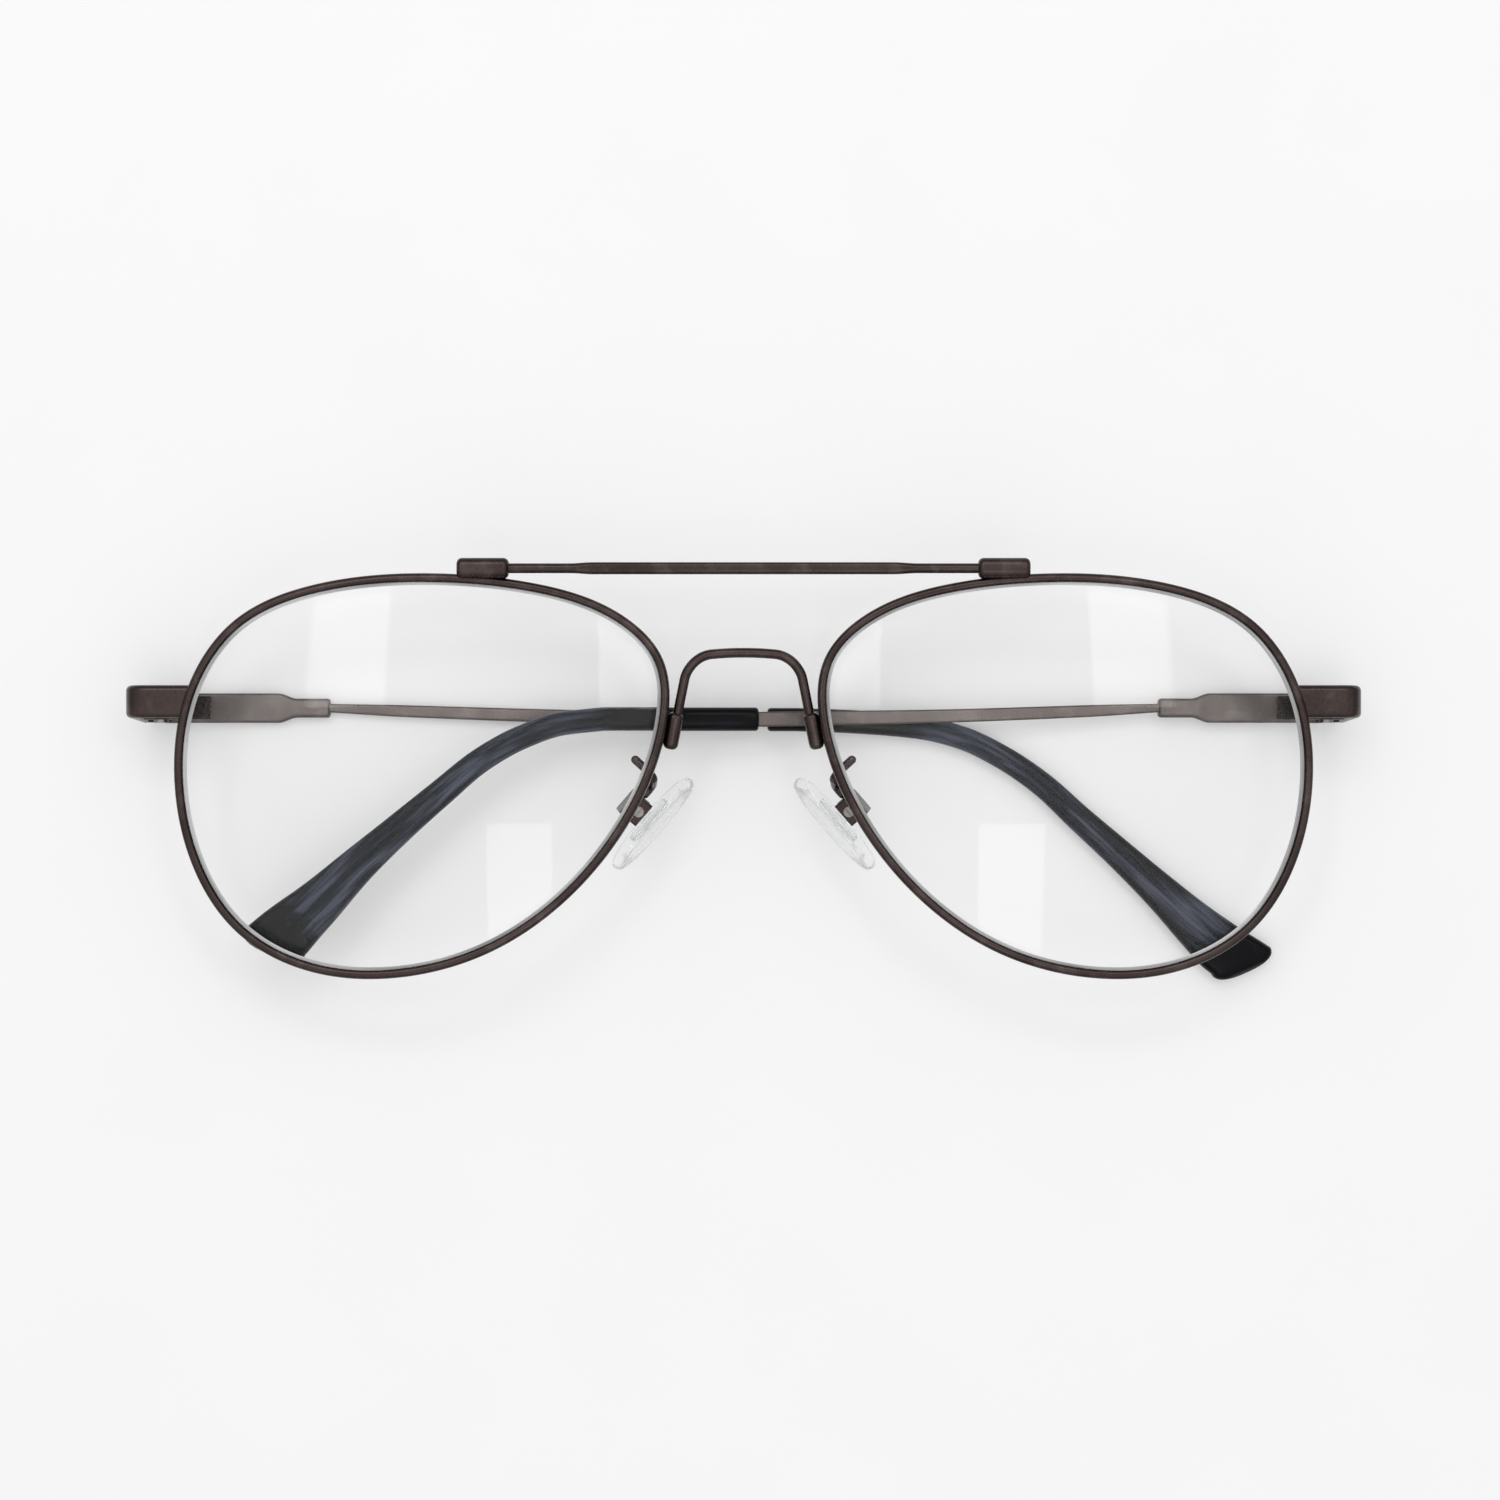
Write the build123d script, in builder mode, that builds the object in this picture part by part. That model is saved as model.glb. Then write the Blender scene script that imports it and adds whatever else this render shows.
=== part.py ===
from build123d import *
import os
from math import cos, radians, sin

# Double bridge glasses, lying face up on their folded temples.
# +X is towards the wearer's left, +Y towards the brow bar, +Z is the way the front faces.
# The table is the plane z = 0. Lengths are in millimetres, angles in degrees.

# Lenses
lens_width = 54.0
lens_height = 43.9
lens_gap = 18.0
lens_thickness = 2.0
base_curve_radius = 120.0
tongue_width = 0.7
lens_fit = 0.05

# Rims
rim_width = 1.2
rim_depth = 2.2
groove_depth = 0.45
groove_width = 0.9
rim_slit = 0.12

# Stack of the front over the table
front_height = 13.8

# Endpieces and the locks that close the rims
frame_width = 139.0
endpiece_thickness = 1.3
endpiece_height = 3.7
endpiece_rise = 8.3
endpiece_seat = 1.2
endpiece_corner = 2.2
endpiece_round = 0.45
lock_length = 3.6
lock_depth = 1.9
lock_upper_height = 1.75
lock_lower_height = 2.0
lock_gap = 0.08
screw_slot_width = 0.22
screw_slot_depth = 0.16
lock_screw_radius = 0.55
lock_screw_head_radius = 0.85
lock_screw_head_height = 0.35
lock_screw_reach = 1.1
screw_fit = 0.02

# Hinges
temple_rise = 7.7
temple_height = 3.4
barrel_radius = 1.05
barrel_gap = 0.08
knuckle_height = 1.1
knuckle_gap = 0.06
hinge_plate_thickness = 0.7
hinge_plate_length = 4.4
hinge_plate_height = 2.6
hinge_swing_gap = 0.15
pin_radius = 0.55
pin_head_radius = 0.85
pin_head_height = 0.35
pin_fit = 0.04
butt_gap = 0.08

# Temples
block_length = 13.2
block_round = 0.35
taper_length = 2.2
sleeve_length = 3.8
sleeve_height = 2.2
sleeve_thickness = 1.5
sleeve_round = 0.45
wire_root_height = 1.0
wire_height = 1.7
wire_thickness = 0.9
wire_round = 0.3
wire_fall = 1.3
wire_seat = 3.0
wire_core = 14.0
wire_fit = 0.02
left_tip_start = 65.4
right_tip_start = 69.8
left_fold_lean = 3.0

# Temple tips
tip_reach = 59.0
left_tip_drop = 28.4
right_tip_drop = 31.4
tip_height = 2.7
tip_end_height = 7.5
tip_thickness = 2.3
tip_round = 0.8

# Brow bar
bar_rise = 23.1
bar_lift = 1.15
bar_root_size = 1.1
bar_root_round = 0.5
bar_round = 0.3
bar_height = 1.35
bar_thickness = 0.95
bar_flat_length = 33.5
bar_taper = 2.6
bar_seat = 4.2
bar_sleeve_inner = 26.1
bar_sleeve_length = 5.8
bar_sleeve_height = 2.3
bar_sleeve_depth = 2.1
bar_sleeve_round = 0.35

# Lower bridge
bridge_radius = 0.55
bridge_top = 13.75
bridge_half_width = 6.1
bridge_corner = 3.1
bridge_forward = 1.4
bridge_sleeve_top = 7.0
bridge_sleeve_length = 4.2
bridge_sleeve_width = 1.7
bridge_sleeve_depth = 1.9
bridge_sleeve_round = 0.4
bridge_splay = 11.5
bridge_seat = 3.0

# Nose pads
pad_length = 13.4
pad_width = 6.8
pad_thickness = 1.7
pad_round = 0.75
pad_splay = 41.0
pad_tilt = 14.0
pad_pivot_x = 12.2
pad_pivot_y = -3.9
pad_pivot_back = 7.4
pad_box_length = 3.0
pad_box_width = 2.9
pad_box_depth = 2.5
pad_box_floor = 0.7
pad_box_round = 0.3
pad_box_front = 0.9
pad_tab_width = 1.2
pad_tab_radius = 0.8
pad_tab_gap = 0.06
pad_core_length = 6.0
pad_core_width = 3.0
pad_core_thickness = 0.5
pad_core_round = 1.2
pad_core_fit = 0.02
pad_standoff = 1.75
pad_screw_radius = 0.35
pad_screw_head_radius = 0.6
pad_screw_head_height = 0.3
pad_screw_fit = 0.03
pad_arm_radius = 0.48
pad_arm_bend = 0.9
pad_arm_foot_x = 12.6
pad_arm_foot_y = 2.1
pad_arm_knee_x = 10.1
pad_arm_knee_y = -0.2
pad_arm_foot_sink = 0.06
pad_arm_straight = 1.7
pad_arm_level = -0.4

# One overrun serves all through cuts
overrun = 1.0

# Outline of the right-hand lens seen from the front, as shares of half its width and height,
# starting at the temple side and going over the brow
outline_shares = (
    (1.000, 0.000),
    (0.955, 0.410),
    (0.760, 0.768),
    (0.441, 0.942),
    (-0.015, 1.000),
    (-0.469, 0.950),
    (-0.812, 0.800),
    (-0.975, 0.590),
    (-0.990, 0.245),
    (-0.860, -0.185),
    (-0.597, -0.600),
    (-0.275, -0.872),
    (0.130, -1.000),
    (0.450, -0.968),
    (0.748, -0.775),
    (0.934, -0.420),
)

# Stations along the outline at which it is moved in or out
outline_stations = 36

# Stations of a temple wire, as shares of its length, of its growth in height and of its fall
wire_shares = ((0.0, 0.0, 0.0), (0.18, 0.55, 0.28), (0.6, 0.8, 0.78), (1.0, 1.0, 1.0))

# Stations of a temple tip: its place as shares of reach and drop, its turn in degrees, its height
# as a share of its growth, and its thickness as a share
tip_shares = (
    (0.000, 0.000, 0, -0.10, 0.78),
    (0.010, 0.000, 0, 0.00, 1.00),
    (0.300, 0.000, 0, 0.00, 1.00),
    (0.382, 0.020, 15, 0.00, 1.00),
    (0.458, 0.074, 25, 0.01, 1.00),
    (0.536, 0.165, 36, 0.03, 1.00),
    (0.612, 0.295, 40, 0.08, 1.00),
    (0.691, 0.435, 42, 0.16, 1.00),
    (0.769, 0.579, 43, 0.31, 1.00),
    (0.845, 0.731, 48, 0.57, 1.00),
    (0.896, 0.824, 57, 0.81, 1.00),
    (0.929, 0.889, 68, 1.00, 1.00),
    (0.946, 0.938, 74, 0.62, 0.62),
)


# The lens centres lie at datum_y, which puts the origin under the middle of the whole outline
bar_top = bar_rise + bar_sleeve_height / 2
front_bottom = lens_height / 2 + rim_width - groove_depth
end_drop_share, end_turn, end_growth_share = tip_shares[-1][1:4]
end_height = tip_height + end_growth_share * (tip_end_height - tip_height)
end_half = end_height / 2 * cos(radians(end_turn))
tip_bottom = end_drop_share * right_tip_drop + end_half + wire_fall - temple_rise
datum_y = (max(front_bottom, tip_bottom) - bar_top) / 2

lens_x = (lens_gap + lens_width) / 2
pin_reach = barrel_radius + barrel_gap
pin_x = frame_width / 2 - endpiece_thickness - pin_reach
pin_z = pin_reach + endpiece_thickness
temple_y = datum_y + temple_rise
endpiece_y = datum_y + endpiece_rise


def sag(x, y):
    """Depth of the lens surface under its crown, at a place measured from the lens centre."""
    return (x * x + y * y) / (2 * base_curve_radius)


def front_z(x, y):
    """Height of the middle of the rim over the table at a place on the left half of the front."""
    return front_height - sag(x - lens_x, y - datum_y)


def lens_face(grow):
    """The lens outline at its full width and height, moved out by grow on every side."""
    half_width = lens_width / 2
    half_height = lens_height / 2
    points = [(lens_x + half_width * u, datum_y + half_height * v) for u, v in outline_shares]
    with BuildLine(Plane.XY) as outline:
        Spline(*points, periodic=True)
    edge = outline.edge()
    moved = []
    for station in range(outline_stations):
        place = edge @ (station / outline_stations)
        along = edge % (station / outline_stations)
        moved.append((place.X + grow * along.Y, place.Y - grow * along.X))
    with BuildSketch(Plane.XY) as face:
        with BuildLine():
            Spline(*moved, periodic=True)
        make_face()
    return face.sketch


def shell(depth):
    """A curved sheet of the given depth, concentric with the lens and wider than it."""
    centre = (lens_x, datum_y, front_height - base_curve_radius)
    with BuildPart() as sheet:
        with Locations(centre):
            Sphere(base_curve_radius + depth / 2)
            Sphere(base_curve_radius - depth / 2, mode=Mode.SUBTRACT)
        with Locations((lens_x, datum_y, front_height)):
            Box(2 * lens_width, 2 * lens_width, lens_height, mode=Mode.INTERSECT)
    return sheet.part


def curved(depth, grow):
    """A plate of the lens outline, moved out by grow, cut from the curved sheet."""
    sheet = shell(depth)
    outline = lens_face(grow)
    with BuildPart() as plate:
        with BuildSketch(Plane.XY):
            add(outline)
        extrude(amount=2 * front_height)
        add(sheet, mode=Mode.INTERSECT)
    return plate.part


def write(name, piece):
    """Label a finished piece and write it."""
    piece.part.label = name
    export_step(piece.part, f"parts/{name}.step")


def write_pair(name, piece):
    """Write a piece of the left half and its mirror image."""
    write(f"left_{name}", piece)
    with BuildPart() as other:
        mirror(piece.part, about=Plane.YZ)
    write(f"right_{name}", other)


os.makedirs("parts", exist_ok=True)

# Rims
wall_outside = rim_width - groove_depth
rim_plate = curved(rim_depth, wall_outside)
rim_window = curved(rim_depth + overrun, -groove_depth)
groove_plate = curved(groove_width, lens_fit)
with BuildPart() as rim:
    add(rim_plate)
    add(rim_window, mode=Mode.SUBTRACT)
    add(groove_plate, mode=Mode.SUBTRACT)
    with Locations((lens_x + lens_width / 2, endpiece_y, front_height - rim_depth)):
        Box(lens_width / 4, rim_slit, lens_height / 4, mode=Mode.SUBTRACT)
write_pair("rim", rim)

# Lenses
lens_body = curved(lens_thickness, -groove_depth - lens_fit)
lens_tongue = curved(tongue_width, 0)
with BuildPart() as lens:
    add(lens_body)
    add(lens_tongue)
write_pair("lens", lens)


# Heights and places of the front's fittings, all on the wearer's left
rim_edge_x = lens_x + lens_width / 2 + wall_outside
plate_front = front_z(rim_edge_x, endpiece_y) + rim_depth / 2
plate_back = plate_front - endpiece_thickness
outer_x = frame_width / 2
leg_x = outer_x - endpiece_thickness
leg_end = pin_z + butt_gap
lock_x = rim_edge_x - endpiece_seat


def screw(place, radius, head_radius, head_height, length):
    """A slotted screw along a plane's normal, with its head above the plane."""
    with BuildPart() as body:
        with BuildSketch(place):
            Circle(radius)
        extrude(amount=-length)
        with BuildSketch(place):
            Circle(head_radius)
        extrude(amount=head_height)
        with BuildSketch(place.offset(head_height)):
            Rectangle(3 * head_radius, screw_slot_width)
        extrude(amount=-screw_slot_depth, mode=Mode.SUBTRACT)
    return body.part


# Endpieces: a plate in front that turns back round the corner into the leg
turn_x = outer_x - endpiece_corner
turn_z = plate_front - endpiece_corner
with BuildPart() as endpiece:
    with BuildSketch(Plane.YZ.offset(lock_x)):
        with Locations((endpiece_y, plate_front - endpiece_thickness / 2)):
            RectangleRounded(endpiece_height, endpiece_thickness, endpiece_round)
    extrude(amount=turn_x - lock_x)
    with BuildSketch(Plane.YZ.offset(turn_x)):
        with Locations((endpiece_y, plate_front - endpiece_thickness / 2)):
            RectangleRounded(endpiece_height, endpiece_thickness, endpiece_round)
    revolve(axis=Axis((turn_x, endpiece_y, turn_z), (0, 1, 0)), revolution_arc=90)
    with BuildSketch(Plane.XY.offset(turn_z)):
        with Locations((outer_x - endpiece_thickness / 2, endpiece_y)):
            RectangleRounded(endpiece_thickness, endpiece_height, endpiece_round)
    with BuildSketch(Plane.XY.offset(leg_end)):
        with Locations((outer_x - endpiece_thickness / 2, temple_y)):
            RectangleRounded(endpiece_thickness, temple_height, endpiece_round)
    loft()
    add(rim_plate, mode=Mode.SUBTRACT)
write_pair("endpiece", endpiece)

# Locks: two blocks behind each endpiece that close the rim round the lens with a screw
lock_screw_x = rim_edge_x + lock_length / 2
lock_screw_z = plate_back - lock_gap - lock_depth / 2
with BuildPart() as lock_upper:
    with BuildSketch(Plane.XY.offset(plate_back)):
        with Locations((lock_x, endpiece_y + lock_gap / 2)):
            Rectangle(
                rim_edge_x + lock_length - lock_x,
                lock_upper_height,
                align=(Align.MIN, Align.MIN),
            )
    extrude(amount=-(lock_depth + lock_gap))
    with BuildSketch(Plane.XZ.offset(-endpiece_y)):
        with Locations((lock_screw_x, lock_screw_z)):
            Circle(lock_screw_radius + screw_fit)
    extrude(amount=-(lock_screw_reach + screw_fit), mode=Mode.SUBTRACT)
    add(rim_plate, mode=Mode.SUBTRACT)
write_pair("rim_lock_upper", lock_upper)

with BuildPart() as lock_lower:
    with BuildSketch(Plane.XY.offset(plate_back - lock_gap)):
        with Locations((lock_x, endpiece_y - lock_gap / 2)):
            Rectangle(
                rim_edge_x + lock_length - lock_x,
                lock_lower_height,
                align=(Align.MIN, Align.MAX),
            )
    extrude(amount=-lock_depth)
    with BuildSketch(Plane.XZ.offset(-endpiece_y)):
        with Locations((lock_screw_x, lock_screw_z)):
            Circle(lock_screw_radius + screw_fit)
    extrude(amount=lock_lower_height + overrun, mode=Mode.SUBTRACT)
    add(rim_plate, mode=Mode.SUBTRACT)
write_pair("rim_lock_lower", lock_lower)

lock_bottom = endpiece_y - lock_gap / 2 - lock_lower_height
lock_screw_place = Plane(origin=(lock_screw_x, lock_bottom, lock_screw_z), x_dir=(1, 0, 0), z_dir=(0, -1, 0))
lock_screw_body = screw(
    lock_screw_place,
    lock_screw_radius,
    lock_screw_head_radius,
    lock_screw_head_height,
    lock_lower_height + lock_gap / 2 + lock_screw_reach,
)
with BuildPart() as lock_screw:
    add(lock_screw_body)
write_pair("rim_screw", lock_screw)

# Hinges: two outer knuckles on the front and one between them on the temple
pin_place = Plane(origin=(pin_x, temple_y, pin_z), x_dir=(1, 0, 0), z_dir=(0, 1, 0))
knuckle_top = temple_height / 2
outer_knuckle_low = knuckle_height / 2 + knuckle_gap
with BuildPart() as hinge_front:
    plate_low = pin_z + barrel_radius + hinge_swing_gap
    with BuildSketch(Plane.YZ.offset(leg_x)):
        with Locations((temple_y, plate_low)):
            Rectangle(hinge_plate_height, hinge_plate_length, align=(Align.CENTER, Align.MIN))
    extrude(amount=-hinge_plate_thickness)
    for way in (1, -1):
        with BuildSketch(pin_place.offset(way * outer_knuckle_low)):
            Circle(barrel_radius)
            Rectangle(pin_reach, plate_low - pin_z + hinge_plate_thickness, align=(Align.MIN, Align.MAX))
        extrude(amount=way * (knuckle_top - outer_knuckle_low))
    with BuildSketch(pin_place):
        Circle(pin_radius + screw_fit)
    extrude(amount=temple_height, both=True, mode=Mode.SUBTRACT)
write_pair("hinge_front", hinge_front)

hinge_screw_body = screw(
    pin_place.offset(knuckle_top),
    pin_radius,
    pin_head_radius,
    pin_head_height,
    temple_height,
)
with BuildPart() as hinge_screw:
    add(hinge_screw_body)
write_pair("hinge_screw", hinge_screw)


def make_temple(hand, lean, tip_start, tip_drop):
    """The folded temple that hangs on the left hinge, leaning up from the table by lean degrees."""
    along = (-cos(radians(lean)), 0, sin(radians(lean)))
    up = (sin(radians(lean)), 0, cos(radians(lean)))
    flat = Plane(origin=(pin_x, temple_y, pin_z), x_dir=along, z_dir=up)
    outer_face = -pin_z

    def across(distance, fall, level):
        """A plane square to the temple, at a distance from the pin."""
        return Plane(
            origin=flat.from_local_coords((distance, fall, level)),
            x_dir=flat.y_dir,
            z_dir=flat.x_dir,
        )

    taper_end = block_length + taper_length
    sleeve_end = taper_end + sleeve_length
    sleeve_level = outer_face + sleeve_thickness / 2
    tip_level = outer_face + tip_thickness / 2

    with BuildPart() as hinge_rear:
        with BuildSketch(flat.offset(-pin_reach)):
            with Locations((barrel_radius + hinge_swing_gap, 0)):
                Rectangle(hinge_plate_length, hinge_plate_height, align=(Align.MIN, Align.CENTER))
        extrude(amount=hinge_plate_thickness)
        with BuildSketch(pin_plane(flat, -knuckle_height / 2)):
            Circle(barrel_radius)
            Rectangle(
                barrel_radius + hinge_swing_gap + hinge_plate_thickness,
                pin_reach,
                align=(Align.MIN, Align.MIN),
            )
        extrude(amount=knuckle_height)
        with BuildSketch(pin_plane(flat, -temple_height / 2)):
            Circle(pin_radius + pin_fit)
        extrude(amount=temple_height, mode=Mode.SUBTRACT)

    with BuildPart() as block:
        middle = outer_face + endpiece_thickness / 2
        with BuildSketch(across(0, 0, middle)):
            RectangleRounded(temple_height, endpiece_thickness, block_round)
        extrude(amount=block_length)
        with BuildSketch(across(block_length, 0, middle)):
            RectangleRounded(temple_height, endpiece_thickness, block_round)
        with BuildSketch(across(taper_end, 0, sleeve_level)):
            RectangleRounded(sleeve_height, sleeve_thickness, sleeve_round)
        loft()
        with BuildSketch(across(taper_end, 0, sleeve_level)):
            RectangleRounded(sleeve_height, sleeve_thickness, sleeve_round)
        extrude(amount=sleeve_length)
        with BuildSketch(across(sleeve_end, 0, sleeve_level)):
            RectangleRounded(
                wire_root_height + 2 * wire_fit,
                wire_thickness + 2 * wire_fit,
                wire_round,
            )
        extrude(amount=-(wire_seat + wire_fit), mode=Mode.SUBTRACT)

    run = tip_start - sleeve_end
    with BuildPart() as wire:
        with BuildSketch(across(sleeve_end, 0, sleeve_level)):
            RectangleRounded(wire_root_height, wire_thickness, wire_round)
        extrude(amount=-wire_seat)
        for run_share, height_share, fall_share in wire_shares:
            level = sleeve_level + run_share * (tip_level - sleeve_level)
            height = wire_root_height + height_share * (wire_height - wire_root_height)
            with BuildSketch(across(sleeve_end + run_share * run, fall_share * wire_fall, level)):
                RectangleRounded(height, wire_thickness, wire_round)
        loft()
        with BuildSketch(across(tip_start, wire_fall, tip_level)):
            RectangleRounded(wire_height, wire_thickness, wire_round)
        extrude(amount=wire_core)

    def tip_section(station):
        """The rounded section of the tip at one of its stations."""
        reach_share, drop_share, turn, growth_share, thickness_share = station
        place = (tip_start + reach_share * tip_reach, wire_fall + drop_share * tip_drop, tip_level)
        ahead = flat.x_dir * cos(radians(turn)) + flat.y_dir * sin(radians(turn))
        aside = flat.y_dir * cos(radians(turn)) - flat.x_dir * sin(radians(turn))
        height = tip_height + growth_share * (tip_end_height - tip_height)
        with BuildSketch(Plane(origin=flat.from_local_coords(place), x_dir=aside, z_dir=ahead)) as cut:
            RectangleRounded(height, thickness_share * tip_thickness, thickness_share * tip_round)
        return cut.sketch

    sections = [tip_section(station) for station in tip_shares]
    with BuildPart() as tip:
        loft(sections[:2], ruled=True)
        loft(sections[1:3], ruled=True)
        loft(sections[2:-1])
        loft(sections[-2:], ruled=True)
        with BuildSketch(across(tip_start, wire_fall, tip_level)):
            RectangleRounded(wire_height + 2 * wire_fit, wire_thickness + 2 * wire_fit, wire_round)
        extrude(amount=wire_core + wire_fit, mode=Mode.SUBTRACT)

    for name, piece in (
        ("hinge_rear", hinge_rear),
        ("temple_block", block),
        ("temple_wire", wire),
        ("temple_tip", tip),
    ):
        if hand == "left":
            write(f"left_{name}", piece)
        else:
            with BuildPart() as other:
                mirror(piece.part, about=Plane.YZ)
            write(f"right_{name}", other)


def pin_plane(flat, height):
    """A plane square to the hinge pin, with its x along the folded temple and its y under it."""
    return Plane(
        origin=flat.from_local_coords((0, height, 0)),
        x_dir=flat.x_dir,
        z_dir=flat.y_dir,
    )


make_temple("left", left_fold_lean, left_tip_start, left_tip_drop)
make_temple("right", 0, right_tip_start, right_tip_drop)

# Brow bar: flattened between its ends, which are held in a sleeve over each rim
bar_y = datum_y + bar_rise
bar_sleeve_x = bar_sleeve_inner + bar_sleeve_length / 2
bar_z = front_z(bar_sleeve_x, bar_y) + bar_lift
with BuildPart() as bar:
    with BuildSketch(Plane.YZ):
        with Locations((bar_y, bar_z)):
            RectangleRounded(bar_height, bar_thickness, bar_round)
    extrude(amount=bar_flat_length / 2, both=True)
    for way in (1, -1):
        taper_start = way * bar_flat_length / 2
        taper_stop = way * (bar_flat_length / 2 + bar_taper)
        with BuildSketch(Plane.YZ.offset(taper_start)):
            with Locations((bar_y, bar_z)):
                RectangleRounded(bar_height, bar_thickness, bar_round)
        with BuildSketch(Plane.YZ.offset(taper_stop)):
            with Locations((bar_y, bar_z)):
                RectangleRounded(bar_root_size, bar_root_size, bar_root_round)
        loft()
        with BuildSketch(Plane.YZ.offset(taper_stop)):
            with Locations((bar_y, bar_z)):
                RectangleRounded(bar_root_size, bar_root_size, bar_root_round)
        extrude(amount=way * (bar_sleeve_inner + bar_seat) - taper_stop)
    add(rim_plate, mode=Mode.SUBTRACT)
    add(mirror(rim_plate, about=Plane.YZ, mode=Mode.PRIVATE), mode=Mode.SUBTRACT)
write("top_bar", bar)

with BuildPart() as bar_sleeve:
    with BuildSketch(Plane.YZ.offset(bar_sleeve_inner)):
        with Locations((bar_y, bar_z)):
            RectangleRounded(bar_sleeve_height, bar_sleeve_depth, bar_sleeve_round)
    extrude(amount=bar_sleeve_length)
    fillet(bar_sleeve.faces().sort_by(Axis.X)[0].edges(), radius=bar_sleeve_round / 2)
    fillet(bar_sleeve.faces().sort_by(Axis.X)[-1].edges(), radius=bar_sleeve_round / 2)
    with BuildSketch(Plane.YZ.offset(bar_sleeve_inner)):
        with Locations((bar_y, bar_z)):
            RectangleRounded(
                bar_root_size + 2 * wire_fit,
                bar_root_size + 2 * wire_fit,
                bar_root_round,
            )
    extrude(amount=bar_seat + wire_fit, mode=Mode.SUBTRACT)
    add(rim_plate, mode=Mode.SUBTRACT)
write_pair("top_bar_sleeve", bar_sleeve)

# Lower bridge: a bowed wire that leans forward, held in a sleeve beside each rim
leg_turn = radians(bridge_splay)
bridge_sleeve_middle = bridge_sleeve_top - bridge_sleeve_length / 2
bridge_z = front_z(bridge_half_width, datum_y + bridge_sleeve_middle) + bridge_forward
bridge_plane = Plane(
    origin=(0, datum_y + bridge_top, bridge_z),
    x_dir=(1, 0, 0),
    z_dir=(0, -bridge_forward, bridge_top - bridge_sleeve_middle),
)
leg_length = (bridge_top - bridge_sleeve_top) / cos(leg_turn) + bridge_seat
foot_x = bridge_half_width + leg_length * sin(leg_turn)
foot_y = -leg_length * cos(leg_turn)
with BuildPart() as bridge:
    with BuildLine(bridge_plane) as bow:
        FilletPolyline(
            (-foot_x, foot_y),
            (-bridge_half_width, 0),
            (bridge_half_width, 0),
            (foot_x, foot_y),
            radius=bridge_corner,
        )
    bow_wire = bow.wire()
    with BuildSketch(Plane(origin=bow_wire @ 0, z_dir=bow_wire % 0)):
        Circle(bridge_radius)
    sweep(path=bow_wire)
write("lower_bridge", bridge)

foot = bow_wire @ 1
foot_way = bow_wire % 1
if foot.X < 0:
    foot = bow_wire @ 0
    foot_way = -(bow_wire % 0)
sleeve_place = Plane(origin=foot - foot_way * bridge_seat, x_dir=bridge_plane.z_dir, z_dir=foot_way)
with BuildPart() as bridge_sleeve:
    with BuildSketch(sleeve_place):
        RectangleRounded(bridge_sleeve_depth, bridge_sleeve_width, bridge_sleeve_round)
    extrude(amount=bridge_sleeve_length)
    with BuildSketch(sleeve_place):
        Circle(bridge_radius + wire_fit)
    extrude(amount=bridge_seat + wire_fit, mode=Mode.SUBTRACT)
    add(rim_plate, mode=Mode.SUBTRACT)
write_pair("bridge_sleeve", bridge_sleeve)

# Nose pads: each rocks on a screw through a small box at the end of its arm
splay = radians(pad_splay)
tilt = radians(pad_tilt)
pad_plane = Plane(
    origin=(pad_pivot_x, datum_y + pad_pivot_y, front_height - pad_pivot_back),
    x_dir=(sin(splay), -cos(splay), 0),
    z_dir=(-cos(splay) * cos(tilt), -sin(splay) * cos(tilt), -sin(tilt)),
)
pad_axis_plane = Plane(origin=pad_plane.origin, x_dir=pad_plane.x_dir, z_dir=pad_plane.y_dir)
with BuildPart() as pad_box:
    with BuildSketch(pad_plane.offset(pad_box_front)):
        RectangleRounded(pad_box_length, pad_box_width, pad_box_round)
    extrude(amount=-pad_box_depth)
    with BuildSketch(pad_plane.offset(pad_box_front)):
        Rectangle(2 * pad_box_length, pad_tab_width + 2 * pad_tab_gap)
    extrude(amount=-(pad_box_depth - pad_box_floor), mode=Mode.SUBTRACT)
    with BuildSketch(pad_axis_plane):
        Circle(pad_screw_radius + screw_fit)
    extrude(amount=pad_box_width, both=True, mode=Mode.SUBTRACT)
write_pair("pad_box", pad_box)

with BuildPart() as pad_core:
    with BuildSketch(pad_plane.offset(pad_standoff)):
        RectangleRounded(pad_core_length, pad_core_width, pad_core_round)
    extrude(amount=pad_core_thickness)
    with BuildSketch(pad_axis_plane):
        Circle(pad_tab_radius)
        Rectangle(2 * pad_tab_radius, pad_standoff, align=(Align.CENTER, Align.MAX))
    extrude(amount=pad_tab_width / 2, both=True)
    with BuildSketch(pad_axis_plane):
        Circle(pad_screw_radius + pad_screw_fit)
    extrude(amount=pad_tab_width, both=True, mode=Mode.SUBTRACT)
write_pair("pad_core", pad_core)

with BuildPart() as pad:
    with BuildSketch(pad_plane.offset(pad_standoff)):
        Ellipse(pad_length / 2, pad_width / 2)
    extrude(amount=pad_thickness)
    fillet(pad.edges(), radius=pad_round)
    with BuildSketch(pad_plane.offset(pad_standoff)):
        RectangleRounded(
            pad_core_length + 2 * pad_core_fit,
            pad_core_width + 2 * pad_core_fit,
            pad_core_round,
        )
    extrude(amount=pad_core_thickness + pad_core_fit, mode=Mode.SUBTRACT)
write_pair("nose_pad", pad)

pad_screw_body = screw(
    pad_axis_plane.offset(pad_box_width / 2),
    pad_screw_radius,
    pad_screw_head_radius,
    pad_screw_head_height,
    pad_box_width,
)
with BuildPart() as pad_screw:
    add(pad_screw_body)
write_pair("pad_screw", pad_screw)

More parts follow.
